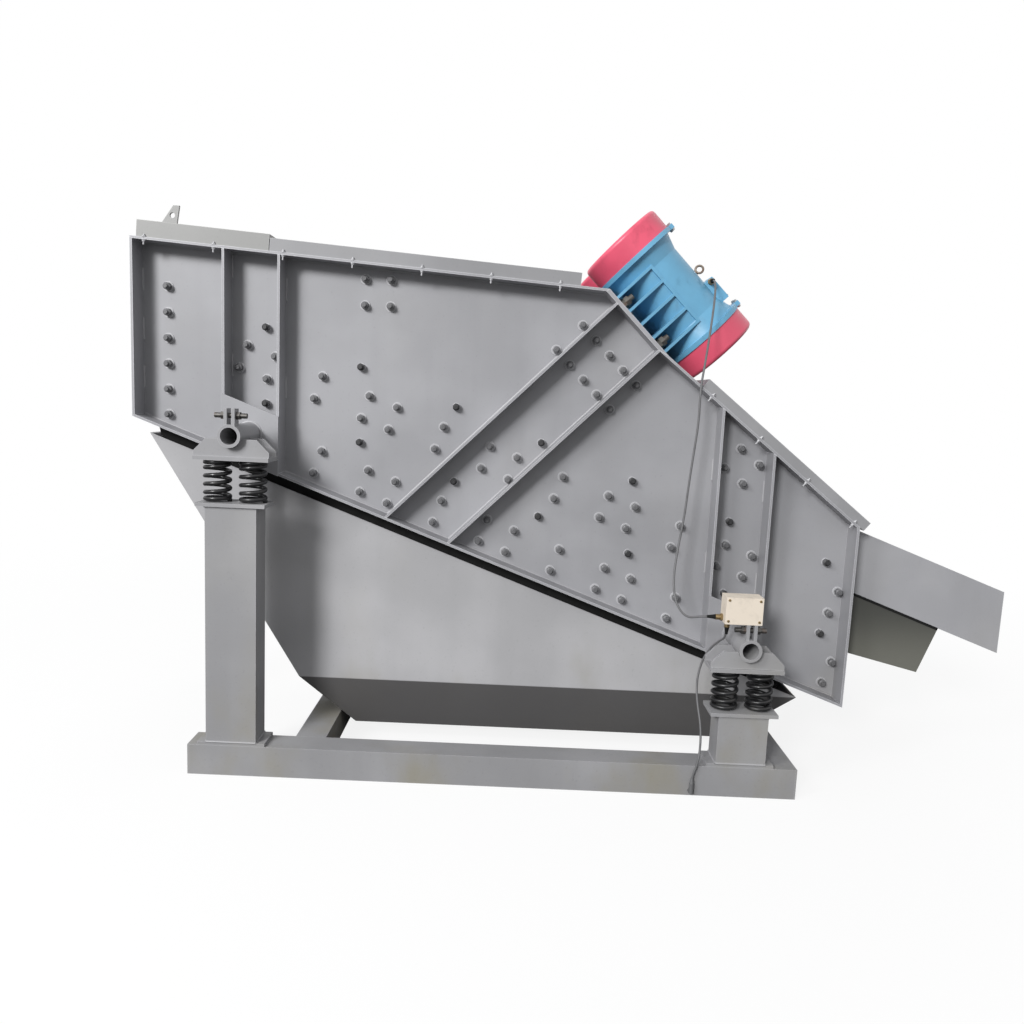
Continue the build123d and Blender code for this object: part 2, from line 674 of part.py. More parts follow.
corners = [(x, z, s * POST_Y) for x, z in trunnions for s in SIDES]
write_set([saddle(*corner) for corner in corners], "spring_saddles")

ear_y = PIPE_END_Y - EAR_INSET - EAR_WIDTH / 2
ear_planes = [side(ear_y), side(-ear_y)]
with BuildPart() as trunnion_ears:
    with BuildSketch(*ear_planes):
        for x, z in trunnions:
            for s in SIDES:
                with Locations((x + s * (EAR_GAP + EAR) / 2, z + EAR_TOP / 2)):
                    Rectangle(EAR, EAR_TOP)
            with Locations((x, z)):
                Circle(PIPE_D / 2 + FIT, mode=Mode.SUBTRACT)
    extrude(amount=EAR_WIDTH / 2, both=True)
    with BuildSketch(Plane.YZ):
        for x, z in trunnions:
            with Locations((ear_y, z + CLAMP_BOLT_RISE), (-ear_y, z + CLAMP_BOLT_RISE)):
                Circle(CLAMP_BOLT_D / 2 + FIT)
    extrude(amount=OVERALL_LENGTH, both=True, mode=Mode.SUBTRACT)
write(trunnion_ears, "trunnion_ears")

with BuildPart() as clamp_bolts:
    for x, z in trunnions:
        spots = [(ear_y, z + CLAMP_BOLT_RISE), (-ear_y, z + CLAMP_BOLT_RISE)]
        with BuildSketch(Plane.YZ.offset(x)):
            with Locations(*spots):
                Circle(CLAMP_BOLT_D / 2)
        extrude(amount=CLAMP_BOLT_REACH, both=True)
        grip = EAR_GAP / 2 + EAR
        with BuildSketch(Plane.YZ.offset(x + grip), Plane.YZ.offset(x - grip - NUT_R)):
            with Locations(*spots):
                RegularPolygon(radius=NUT_R, side_count=6)
        extrude(amount=NUT_R)
write(clamp_bolts, "clamp_bolts")

# Coil springs with ground ends, two under each saddle
with BuildPart() as spring:
    with BuildLine():
        coil = Helix(pitch=SPRING_HEIGHT / SPRING_TURNS, height=SPRING_HEIGHT, radius=(SPRING_D - SPRING_WIRE) / 2)
    with BuildSketch(Plane(origin=coil @ 0, z_dir=coil % 0)):
        RegularPolygon(radius=SPRING_WIRE / 2, side_count=6)
    sweep(path=coil, is_frenet=True)
    split(bisect_by=Plane.XY, keep=Keep.TOP)
    split(bisect_by=Plane.XY.offset(SPRING_HEIGHT), keep=Keep.BOTTOM)


def spring_seat_z(z):
    """Top of the plate that the springs under a trunnion stand on."""
    return z - SADDLE_DROP - SADDLE_PLATE - SPRING_GAP - SPRING_HEIGHT


for name, (x, z) in zip(("springs_feed", "springs_discharge"), trunnions):
    with BuildPart() as springs:
        with Locations(*[(x + i * SPRING_SPACING / 2, j * POST_Y, spring_seat_z(z)) for i in SIDES for j in SIDES]):
            add(spring.part)
    write(springs, name)


# Base frame: two long tubes, two cross tubes and four posts
def tube(plane, width, height, wall, length):
    """Rectangular tube from a plane, open at its ends."""
    with BuildPart() as piece:
        with BuildSketch(plane):
            Rectangle(width, height)
            Rectangle(width - 2 * wall, height - 2 * wall, mode=Mode.SUBTRACT)
        extrude(amount=length)
    return piece


def plate(plane, width, height, thickness):
    """Flat plate standing on a plane."""
    with BuildPart() as piece:
        with BuildSketch(plane):
            Rectangle(width, height)
        extrude(amount=thickness)
    return piece


def end_plane(x, y):
    """Plane across a long base tube."""
    return Plane.YZ.offset(x).shift_origin((x, y, BEAM_SIZE / 2))


elbow_x = TRUNNION_X[1] + SUPPLY_AT_BASE[-1][0]
for name, y in (("base_beam_near", -POST_Y), ("base_beam_far", POST_Y)):
    beam = tube(end_plane(BASE_LEFT + CAP, y), BEAM_SIZE, BEAM_SIZE, TUBE_WALL, BASE_LENGTH - 2 * CAP)
    if y < 0:
        with BuildPart() as drilled:
            add(beam.part)
            with BuildSketch(side(BASE_HALF_WIDTH)):
                with Locations((elbow_x, ELBOW_RISE)):
                    Circle(ELBOW_STUB_R)
            extrude(amount=-TUBE_WALL, mode=Mode.SUBTRACT)
        beam = drilled
    caps = [plate(end_plane(x, y), BEAM_SIZE, BEAM_SIZE, CAP) for x in (BASE_LEFT, BASE_LEFT + BASE_LENGTH - CAP)]
    write_set([beam, *caps], name)

cross_half = BASE_HALF_WIDTH - BEAM_SIZE
for name, x in (("base_cross_beam_feed", FEED_CROSS_X), ("base_cross_beam_discharge", DISCHARGE_CROSS_X)):
    cross_plane = Plane(origin=(x, cross_half, BEAM_SIZE / 2), x_dir=(1, 0, 0), z_dir=(0, -1, 0))
    write(tube(cross_plane, BEAM_SIZE, BEAM_SIZE, TUBE_WALL, 2 * cross_half), name)

for end, (x, z) in zip(("feed", "discharge"), trunnions):
    for near_far, y in (("near", -POST_Y), ("far", POST_Y)):
        foot_top = BEAM_SIZE + POST_FOOT
        post_top = spring_seat_z(z) - SPRING_SEAT
        foot = plate(Plane((x, y, BEAM_SIZE)), POST_FOOT_LENGTH, BEAM_SIZE, POST_FOOT)
        post = tube(Plane((x, y, foot_top)), POST_WIDTH, BEAM_SIZE, POST_WALL, post_top - foot_top)
        seat = plate(Plane((x, y, post_top)), SPRING_SEAT_LENGTH, SPRING_SEAT_WIDTH, SPRING_SEAT)
        write_set([foot, post, seat], f"post_{end}_{near_far}")

# Hopper: bent near and far walls, a bent feed wall and a discharge wall between them
HOPPER_HALF_WIDTH = INNER_Y + HOPPER_MARGIN
HOPPER_OUTLET_HALF_WIDTH = HOPPER_HALF_WIDTH - HOPPER_TAPER
hopper_tip_x = FEED_X + HOPPER_TIP_INSET
hopper_tip = (hopper_tip_x, bottom_z(hopper_tip_x, -HOPPER_GAP))
hopper_nose_x = FEED_X + (FEED_BOTTOM_Z - HOPPER_GAP / cos(DECK_SLOPE) - HOPPER_KNEE_Z) / tan(DECK_SLOPE)
outlet_start = (FEED_CROSS_X + BEAM_SIZE / 2 + HOPPER_FEED_CLEARANCE, HOPPER_OUTLET_Z)
outlet_end = (DISCHARGE_CROSS_X - BEAM_SIZE / 2 - HOPPER_DISCHARGE_CLEARANCE, HOPPER_OUTLET_Z)
hopper_knee = (outlet_start[0] - HOPPER_KNEE_Z + HOPPER_OUTLET_Z, HOPPER_KNEE_Z)
hopper_nose = (hopper_nose_x, HOPPER_KNEE_Z)
hopper_side = [hopper_tip, hopper_nose, outlet_end, outlet_start, hopper_knee]
hopper_inner_side = inset(hopper_side, [0, HOPPER_SHEET, 0, HOPPER_SHEET, HOPPER_SHEET])
hopper_end = [
    (-HOPPER_HALF_WIDTH, FEED_BOTTOM_Z),
    (HOPPER_HALF_WIDTH, FEED_BOTTOM_Z),
    (HOPPER_HALF_WIDTH, HOPPER_KNEE_Z),
    (HOPPER_OUTLET_HALF_WIDTH, HOPPER_OUTLET_Z),
    (-HOPPER_OUTLET_HALF_WIDTH, HOPPER_OUTLET_Z),
    (-HOPPER_HALF_WIDTH, HOPPER_KNEE_Z),
]
hopper_inner_end = inset(hopper_end, [0, HOPPER_SHEET, HOPPER_SHEET, 0, HOPPER_SHEET, HOPPER_SHEET])
with BuildPart() as hopper_near_wall:
    with BuildSketch(Plane.YZ):
        face(hopper_end)
        Polygon(*hopper_inner_end, align=None, mode=Mode.SUBTRACT)
        with Locations((HOPPER_HALF_WIDTH / 2, FEED_BOTTOM_Z / 2)):
            Rectangle(HOPPER_HALF_WIDTH, FEED_BOTTOM_Z, mode=Mode.SUBTRACT)
    extrude(amount=OVERALL_LENGTH, both=True)
    with BuildSketch(Plane.XZ):
        face(hopper_side)
    extrude(amount=HOPPER_HALF_WIDTH, both=True, mode=Mode.INTERSECT)
write(hopper_near_wall, "hopper_near_wall")
write(far_copy(hopper_near_wall), "hopper_far_wall")

for name, left in (("hopper_feed_wall", True), ("hopper_discharge_wall", False)):
    with BuildPart() as hopper_wall:
        with BuildSketch(Plane.XZ):
            face(hopper_side)
            Polygon(*hopper_inner_side, align=None, mode=Mode.SUBTRACT)
            with Locations((OVERALL_LENGTH / 2 if left else -OVERALL_LENGTH / 2, FEED_BOTTOM_Z / 2)):
                Rectangle(OVERALL_LENGTH, FEED_BOTTOM_Z, mode=Mode.SUBTRACT)
        extrude(amount=HOPPER_HALF_WIDTH, both=True)
        with BuildSketch(Plane.YZ):
            face(hopper_inner_end)
        extrude(amount=OVERALL_LENGTH, both=True, mode=Mode.INTERSECT)
    write(hopper_wall, name)

feed_wall_line = (hopper_knee, (outlet_start[0] - hopper_knee[0], outlet_start[1] - hopper_knee[1]))
nose_line = (hopper_nose, (outlet_end[0] - hopper_nose[0], outlet_end[1] - hopper_nose[1]))
with BuildPart() as hopper_brackets:
    with BuildSketch(side(BRACKET_SHARE * BOX_WIDTH), side(-BRACKET_SHARE * BOX_WIDTH)):
        feed_toe = cross(*feed_wall_line, (0, BEAM_SIZE), (1, 0))
        feed_heel = (feed_toe[0] - BRACKET_FOOT, BEAM_SIZE)
        face([feed_toe, feed_heel, cross(*feed_wall_line, feed_heel, (0, 1))])
        nose_toe = cross(*nose_line, (0, BEAM_SIZE), (1, 0))
        nose_heel = (nose_toe[0] + BRACKET_FOOT, BEAM_SIZE)
        face([nose_toe, nose_heel, cross(*nose_line, nose_heel, (0, 1))])
    extrude(amount=BRACKET / 2, both=True)
write(hopper_brackets, "hopper_brackets")

# Vibration motors, modelled about their own axis
motor_foot = seat_point(MOTOR_ALONG_SEAT, -MOTOR_AXIS_HEIGHT)
axis_dir = (ALONG[0], 0, ALONG[1])
throw_dir = (THROW[0], 0, THROW[1])


def motor_centre(y):
    """Middle of a motor's axis."""
    return (motor_foot[0], y, motor_foot[1])


def radial_plane(y):
    """Plane through a motor's axis: radius away from the seat first, then distance along the axis."""
    return Plane(origin=motor_centre(y), x_dir=throw_dir, z_dir=(0, 1, 0))


def disc_plane(y, along):
    """Plane across a motor's axis: away from the seat first, then towards the near side."""
    plane = Plane(origin=motor_centre(y), x_dir=throw_dir, z_dir=axis_dir)
    return plane.offset(along)


def turned(y, points):
    """Solid of revolution about a motor's axis."""
    with BuildPart() as piece:
        with BuildSketch(radial_plane(y)):
            face(points)
        revolve(axis=Axis(motor_centre(y), axis_dir))
    return piece


def motor_body(y):
    """Flared housing with end flanges, a bearing bell at each end and ribbed feet."""
    flange_in = MOTOR_HALF - MOTOR_END_FLANGE
    flare_in = flange_in - MOTOR_FLARE
    shell = [(0, -MOTOR_HALF), (MOTOR_FLANGE_R, -MOTOR_HALF), (MOTOR_FLANGE_R, -flange_in),
             (MOTOR_FLARE_R, -flange_in), (MOTOR_R, -flare_in), (MOTOR_R, flare_in),
             (MOTOR_FLARE_R, flange_in), (MOTOR_FLANGE_R, flange_in), (MOTOR_FLANGE_R, MOTOR_HALF), (0, MOTOR_HALF)]
    bell_in = MOTOR_HALF - MOTOR_BELL
    bore = [(0, -MOTOR_HALF), (BEARING_R, -MOTOR_HALF), (BEARING_R, -bell_in), (MOTOR_BORE_R, -bell_in),
            (MOTOR_BORE_R, bell_in), (BEARING_R, bell_in), (BEARING_R, MOTOR_HALF), (0, MOTOR_HALF)]
    rib_pitch = (FOOT_LENGTH - FOOT_RIB) / (FOOT_RIBS - 1)
    foot_low = -MOTOR_AXIS_HEIGHT
    foot_high = FOOT - MOTOR_AXIS_HEIGHT
    with BuildPart() as piece:
        add(turned(y, shell).part)
        with BuildSketch(disc_plane(y, -MOTOR_HALF), disc_plane(y, flange_in)):
            with Locations((TAB_REACH / 2, 0)):
                Rectangle(TAB_REACH, TAB_WIDTH)
        extrude(amount=MOTOR_END_FLANGE)
        with BuildSketch(disc_plane(y, -FOOT_LENGTH / 2)):
            with Locations(*[((foot_low + foot_high) / 2, s * (FOOT_INNER + FOOT_OUTER) / 2) for s in SIDES]):
                Rectangle(FOOT, FOOT_OUTER - FOOT_INNER)
        extrude(amount=FOOT_LENGTH)
        with BuildSketch(*[disc_plane(y, i * rib_pitch - FOOT_LENGTH / 2) for i in range(FOOT_RIBS)]):
            for s in SIDES:
                face([(foot_high, s * FOOT_OUTER), (foot_high, s * FOOT_INNER), (0, 0), (0, s * (MOTOR_R + FOOT_RIB))])
        extrude(amount=FOOT_RIB)
        with BuildSketch(disc_plane(y, -FOOT_LENGTH / 2)):
            for s in SIDES:
                with Locations((0, s * (MOTOR_R - FOOT_RIB) )):
                    Rectangle(FOOT_RIB, 4 * FOOT_RIB)
        extrude(amount=FOOT_LENGTH)
        add(turned(y, bore).part, mode=Mode.SUBTRACT)
    return piece


def rounded_cup(y, end, radius, length, corner):
    """Solid cylinder standing on one end of a motor, with its outer edge rounded."""
    with BuildPart() as piece:
        with BuildSketch(disc_plane(y, end * MOTOR_HALF)):
            Circle(radius)
        extrude(amount=end * length)
        outward = Axis(motor_centre(y), (end * axis_dir[0], 0, end * axis_dir[2]))
        fillet(faces().sort_by(outward)[-1].edges(), radius=corner)
    return piece


def motor_cover(y, end):
    """Rounded cup over the unbalance weight at one end of a motor."""
    with BuildPart() as piece:
        add(rounded_cup(y, end, COVER_R, COVER_LENGTH, COVER_ROUND).part)
        inner = rounded_cup(y, end, COVER_R - COVER_WALL, COVER_LENGTH - COVER_WALL, COVER_ROUND - COVER_WALL)
        add(inner.part, mode=Mode.SUBTRACT)
    return piece


def rotor_shaft(y):
    """Shaft with its rotor core, in one turning."""
    reach = MOTOR_HALF + WEIGHT_GAP + WEIGHT_LENGTH
    core = CORE_LENGTH / 2
    stub = MOTOR_HALF
    return turned(y, [(0, -reach), (SHAFT_STUB_R, -reach), (SHAFT_STUB_R, -stub), (SHAFT_R, -stub), (SHAFT_R, -core),
                      (ROTOR_R, -core), (ROTOR_R, core), (SHAFT_R, core), (SHAFT_R, stub), (SHAFT_STUB_R, stub),
                      (SHAFT_STUB_R, reach), (0, reach)])


def rotor_weights(y):
    """Half-disc weights on the shaft ends, hanging towards the seat."""
    weight_start = MOTOR_HALF + WEIGHT_GAP
    with BuildPart() as piece:
        with BuildSketch(disc_plane(y, weight_start), disc_plane(y, -weight_start - WEIGHT_LENGTH)):
            Circle(WEIGHT_R)
            with Locations((WEIGHT_R, 0)):
                Rectangle(2 * WEIGHT_R, 2 * WEIGHT_R, mode=Mode.SUBTRACT)
            Circle(WEIGHT_HUB_R)
            Circle(SHAFT_STUB_R, mode=Mode.SUBTRACT)
        extrude(amount=WEIGHT_LENGTH)
    return piece


stators, bearings, terminals, eyes, foot_nuts = [], [], [], [], []
for near_far, y in (("near", -MOTOR_Y), ("far", MOTOR_Y)):
    body = motor_body(y)
    write(body, f"motor_body_{near_far}")
    write_set([motor_cover(y, end) for end in SIDES], f"motor_covers_{near_far}")
    write(rotor_shaft(y), f"rotor_shaft_{near_far}")
    write(rotor_weights(y), f"rotor_weights_{near_far}")
    core = CORE_LENGTH / 2
    stators.append(turned(y, [(ROTOR_R + ROTOR_GAP, -core), (MOTOR_BORE_R, -core), (MOTOR_BORE_R, core),
                              (ROTOR_R + ROTOR_GAP, core)]))
    for s in SIDES:
        ring = [MOTOR_HALF - MOTOR_BELL, MOTOR_HALF - MOTOR_BELL + BEARING_LENGTH]
        bearings.append(turned(y, [(SHAFT_R + RUNNING_FIT, s * ring[0]), (BEARING_R, s * ring[0]),
                                   (BEARING_R, s * ring[1]), (SHAFT_R + RUNNING_FIT, s * ring[1])]))
    with BuildPart() as terminal:
        with BuildSketch(disc_plane(y, TERMINAL_START)):
            with Locations(((TERMINAL_FOOT + TERMINAL_TOP) / 2, 0)):
                Rectangle(TERMINAL_TOP - TERMINAL_FOOT, TERMINAL_WIDTH)
            Circle(MOTOR_R, mode=Mode.SUBTRACT)
        extrude(amount=TERMINAL_LENGTH)
        add(body.part, mode=Mode.SUBTRACT)
    terminals.append(terminal)
    with BuildPart() as eye:
        with BuildSketch(disc_plane(y, -EYE / 2)):
            with Locations((MOTOR_R + EYE_SHANK, 0)):
                Circle(EYE_R)
            with Locations((MOTOR_R + EYE_SHANK / 2, 0)):
                Rectangle(EYE_SHANK, 2 * EYE)
            with Locations((MOTOR_R + EYE_SHANK, 0)):
                Circle(EYE_HOLE_R, mode=Mode.SUBTRACT)
            Circle(MOTOR_R, mode=Mode.SUBTRACT)
        extrude(amount=EYE)
    eyes.append(eye)
    foot_top = Plane(origin=motor_centre(y), x_dir=axis_dir, z_dir=throw_dir).offset(FOOT - MOTOR_AXIS_HEIGHT)
    foot_spots = [(i * FOOT_BOLT_ALONG / 2, j * FOOT_BOLT_ACROSS / 2) for i in SIDES for j in SIDES]
    foot_nuts.append(nuts(foot_top, foot_spots, FOOT_NUT_R))
write_set(stators, "motor_stators")
write_set(bearings, "motor_bearings")
write_set(terminals, "terminal_boxes")
write_set(eyes, "motor_eye_bolts")
write_set(foot_nuts, "motor_foot_bolts")

# Junction box on the ears of the near discharge trunnion
box_x = trunnions[1][0] - JUNCTION_SHIFT
box_z = trunnions[1][1] + EAR_TOP
box_front = PIPE_END_Y - EAR_INSET
with BuildPart() as junction_box:
    with BuildSketch(side(box_front - JUNCTION_LID)):
        with Locations((box_x, box_z + JUNCTION_HEIGHT / 2)):
            Rectangle(JUNCTION_LENGTH, JUNCTION_HEIGHT)
    extrude(amount=-JUNCTION_DEPTH)
    with BuildSketch(side(box_front - JUNCTION_LID)):
        with Locations((box_x, box_z + JUNCTION_HEIGHT / 2)):
            Rectangle(JUNCTION_LENGTH - 2 * JUNCTION_WALL, JUNCTION_HEIGHT - 2 * JUNCTION_WALL)
    extrude(amount=JUNCTION_WALL - JUNCTION_DEPTH, mode=Mode.SUBTRACT)
write(junction_box, "junction_box")

with BuildPart() as junction_lid:
    with BuildSketch(side(box_front - JUNCTION_LID)):
        with Locations((box_x, box_z + JUNCTION_HEIGHT / 2)):
            Rectangle(JUNCTION_LENGTH, JUNCTION_HEIGHT)
    extrude(amount=JUNCTION_LID)
write(junction_lid, "junction_lid")


def gland(tip, direction):
    """Cable gland whose open end is at tip, with a nut against its box."""
    mouth = Plane(origin=tip, z_dir=direction)
    with BuildPart() as piece:
        with BuildSketch(mouth):
            Circle(GLAND_R)
        extrude(amount=-GLAND_LENGTH)
        with BuildSketch(mouth.offset(GLAND_NUT - GLAND_LENGTH)):
            RegularPolygon(radius=GLAND_NUT_R, side_count=6)
        extrude(amount=-GLAND_NUT)
    return piece


gland_seat = seat_point(MOTOR_ALONG_SEAT + MOTOR_GLAND_ALONG, -MOTOR_AXIS_HEIGHT - MOTOR_GLAND_RADIUS)
motor_tip = (gland_seat[0], -MOTOR_Y - TERMINAL_WIDTH / 2 - GLAND_LENGTH, gland_seat[1])
box_tip = (box_x - JUNCTION_LENGTH / 2 - GLAND_LENGTH, BOX_GLAND_INSET - PIPE_END_Y, box_z + BOX_GLAND_RISE)
supply_tip = (trunnions[1][0] + SUPPLY_GLAND_SHIFT, SUPPLY_GLAND_INSET - PIPE_END_Y, box_z - GLAND_LENGTH)
glands = [gland(motor_tip, (0, -1, 0)), gland(box_tip, (-1, 0, 0)), gland(supply_tip, (0, 0, -1))]
write_set(glands, "cable_glands")

with BuildPart() as cable_elbow:
    with BuildSketch(side(BASE_HALF_WIDTH - TUBE_WALL)):
        with Locations((elbow_x, ELBOW_RISE)):
            Circle(ELBOW_STUB_R)
    extrude(amount=TUBE_WALL + ELBOW_STAND)
    with BuildSketch(side(BASE_HALF_WIDTH)):
        with Locations((elbow_x, ELBOW_RISE)):
            RegularPolygon(radius=ELBOW_NUT_R, side_count=6)
    extrude(amount=ELBOW_NUT)
    socket_mouth = Plane(origin=(elbow_x, -BASE_HALF_WIDTH - ELBOW_STAND, ELBOW_RISE + ELBOW_SOCKET))
    with BuildSketch(socket_mouth):
        Circle(ELBOW_R)
    extrude(amount=-ELBOW_SOCKET - ELBOW_R)
    with BuildSketch(socket_mouth):
        Circle(CABLE_D / 2 + CABLE_FIT)
    extrude(amount=-ELBOW_BORE, mode=Mode.SUBTRACT)
write(cable_elbow, "cable_elbow")


def offsets(origin, steps):
    """Points at given steps from an origin."""
    return [(origin[0] + dx, origin[1] + dy, origin[2] + dz) for dx, dy, dz in steps]


def bend_radii(points):
    """Radius at each inner point of a route: as large as its two runs allow."""
    radii = []
    for before, here, after in zip(points, points[1:], points[2:]):
        run_in = Vector(*here) - Vector(*before)
        run_out = Vector(*after) - Vector(*here)
        half_turn = radians(run_in.get_angle(run_out)) / 2
        radii.append(0.45 * min(run_in.length, run_out.length) / tan(half_turn))
    return radii


flange_foot = (trunnions[1][0], -FLANGE_Y, trunnions[1][1])
base_foot = (trunnions[1][0], -BASE_HALF_WIDTH, 0)
motor_route = [motor_tip, *offsets(motor_tip, CABLE_FROM_MOTOR), *offsets(flange_foot, CABLE_AT_FLANGE),
               *offsets(box_tip, CABLE_TO_BOX), box_tip]
supply_route = [supply_tip, *offsets(supply_tip, SUPPLY_FROM_BOX), *offsets(base_foot, SUPPLY_AT_BASE)]
for name, points in (("motor_cable", motor_route), ("supply_cable", supply_route)):
    radii = bend_radii(points)
    with BuildPart() as cable:
        with BuildLine():
            route = FilletPolyline(*points, radius=radii)
        with BuildSketch(Plane(origin=route @ 0, z_dir=route % 0)):
            Circle(CABLE_D / 2)
        sweep(path=route)
    share = cable.part.volume / (route.length * Circle(CABLE_D / 2, mode=Mode.PRIVATE).area)
    print(name, "length", round(route.length), "radii", [round(r) for r in radii], "volume share", round(share, 4))
    write(cable, name)
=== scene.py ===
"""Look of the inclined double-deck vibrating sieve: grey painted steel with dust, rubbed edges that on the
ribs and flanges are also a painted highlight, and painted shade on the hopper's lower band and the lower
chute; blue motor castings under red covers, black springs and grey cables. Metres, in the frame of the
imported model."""

from math import cos, pi, radians, sin, tan

import bmesh
import bpy
from mathutils import Matrix, Vector


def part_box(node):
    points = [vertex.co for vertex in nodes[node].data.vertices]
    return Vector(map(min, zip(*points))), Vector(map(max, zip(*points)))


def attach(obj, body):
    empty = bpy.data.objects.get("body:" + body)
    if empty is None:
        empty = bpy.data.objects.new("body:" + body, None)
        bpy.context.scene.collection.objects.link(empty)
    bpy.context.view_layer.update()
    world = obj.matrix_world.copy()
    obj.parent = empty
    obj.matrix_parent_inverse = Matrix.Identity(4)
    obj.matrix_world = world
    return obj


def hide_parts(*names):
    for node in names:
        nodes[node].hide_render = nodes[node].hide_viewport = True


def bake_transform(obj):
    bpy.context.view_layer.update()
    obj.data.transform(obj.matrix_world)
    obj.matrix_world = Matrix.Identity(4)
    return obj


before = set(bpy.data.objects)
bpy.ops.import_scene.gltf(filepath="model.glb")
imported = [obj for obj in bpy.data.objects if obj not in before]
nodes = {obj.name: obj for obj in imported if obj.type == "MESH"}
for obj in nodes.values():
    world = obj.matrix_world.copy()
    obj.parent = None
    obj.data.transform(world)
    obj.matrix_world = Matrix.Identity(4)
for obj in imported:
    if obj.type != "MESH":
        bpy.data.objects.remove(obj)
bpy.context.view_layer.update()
scene = bpy.context.scene
scene.view_settings.view_transform = "Standard"

# Sizes of the model that the added pieces sit on
FEED_X = -1.864
DISCHARGE_X = 1.166
FEED_TOP_Z = 2.139
FEED_BOTTOM_Z = 1.420
DECK_SLOPE = radians(20.2)
TOP_SLOPE = radians(3.76)
SEAT_ANGLE = radians(45)
SEAT_START_X = 0.067019
SEAT_LENGTH = 0.361
PLATE_Y = 0.610
FLANGE_Y = 0.710
FLANGE = 0.010
TRUNNION_X = (-1.378, 0.675)
TRUNNION_RISE = 0.121
RIB_HALF_SPACING = 0.112
RIB_HALF = 0.006
DRIVE_RIBS = (0.062, 0.318)
PIPE_RADIUS = 0.0475
PAD_FACE_Y = 0.722
POST_Y = 0.8975
POST_HALF_X = 0.1005
POST_HALF_Y = 0.0625
MOTOR_Y = 0.300
MOTOR_AXIS_HEIGHT = 0.231
MOTOR_ALONG_SEAT = 0.200
MOTOR_HALF = 0.234
MOTOR_RADIUS = 0.160
CABLE_RADIUS = 0.0045
ALONG = Vector((cos(SEAT_ANGLE), 0, -sin(SEAT_ANGLE)))
THROW = Vector((sin(SEAT_ANGLE), 0, cos(SEAT_ANGLE)))
DOWN_DECK = Vector((cos(DECK_SLOPE), 0, -sin(DECK_SLOPE)))
OFF_DECK = Vector((sin(DECK_SLOPE), 0, cos(DECK_SLOPE)))
NEAR = Vector((0, -1, 0))
UP = Vector((0, 0, 1))
SIDES = (-1, 1)


def top_edge(x):
    """Height of the top edge of the box over the feed end."""
    return FEED_TOP_Z - (x - FEED_X) * tan(TOP_SLOPE)


def lower_edge(x, rise=0.0):
    """Height of the line along the box's lower edge, rise above it."""
    return FEED_BOTTOM_Z - (x - FEED_X) * tan(DECK_SLOPE) + rise / cos(DECK_SLOPE)


def seat(along, height, y):
    """Point over the motor seat, along it from its upper end."""
    start = Vector((SEAT_START_X, y, top_edge(SEAT_START_X)))
    return start + ALONG * along + THROW * height


# Lines of the box's top and of its slanted end
SLANT_START = seat(SEAT_LENGTH, 0, 0)
SLANT_END = Vector((DISCHARGE_X, 0, lower_edge(DISCHARGE_X) + 0.785))
slant = (SLANT_END - SLANT_START).normalized()
slant_up = Vector((-slant.z, 0, slant.x))
top_run = Vector((cos(TOP_SLOPE), 0, -sin(TOP_SLOPE)))
top_up = Vector((sin(TOP_SLOPE), 0, cos(TOP_SLOPE)))


def rib_top(x):
    """Height of the box's top over its feed end or its slanted end."""
    if x < SEAT_START_X:
        return top_edge(x)
    return (SLANT_START + slant * (x - SLANT_START.x) / slant.x).z


# Camera at the photograph's place, with its directions to the right and up
CAMERA_PLACE = (-0.293, -4.218, 1.570)
CAMERA_RIGHT = Vector((0.99904, 0.00426, 0.04358))
CAMERA_UP = Vector((-0.04376, 0.13542, 0.98982))
camera_data = bpy.data.cameras.new("side_view")
camera_data.sensor_width = 36
camera_data.lens = 29.88
camera = bpy.data.objects.new("side_view", camera_data)
scene.collection.objects.link(camera)
turn = Matrix((CAMERA_RIGHT, CAMERA_UP, CAMERA_RIGHT.cross(CAMERA_UP))).transposed().to_4x4()
camera.matrix_world = Matrix.Translation(CAMERA_PLACE) @ turn
scene.camera = camera


class Number:
    """A number on a shader socket; Python's operators on it add Math nodes."""

    def __init__(self, finish, socket):
        self.finish = finish
        self.socket = socket

    def maths(self, operation, first, second):
        return self.finish.number("ShaderNodeMath", {"operation": operation}, {0: first, 1: second})

    def __add__(self, other):
        return self.maths("ADD", self, other)

    __radd__ = __add__

    def __sub__(self, other):
        return self.maths("SUBTRACT", self, other)

    def __rsub__(self, other):
        return self.maths("SUBTRACT", other, self)

    def __mul__(self, other):
        return self.maths("MULTIPLY", self, other)

    __rmul__ = __mul__


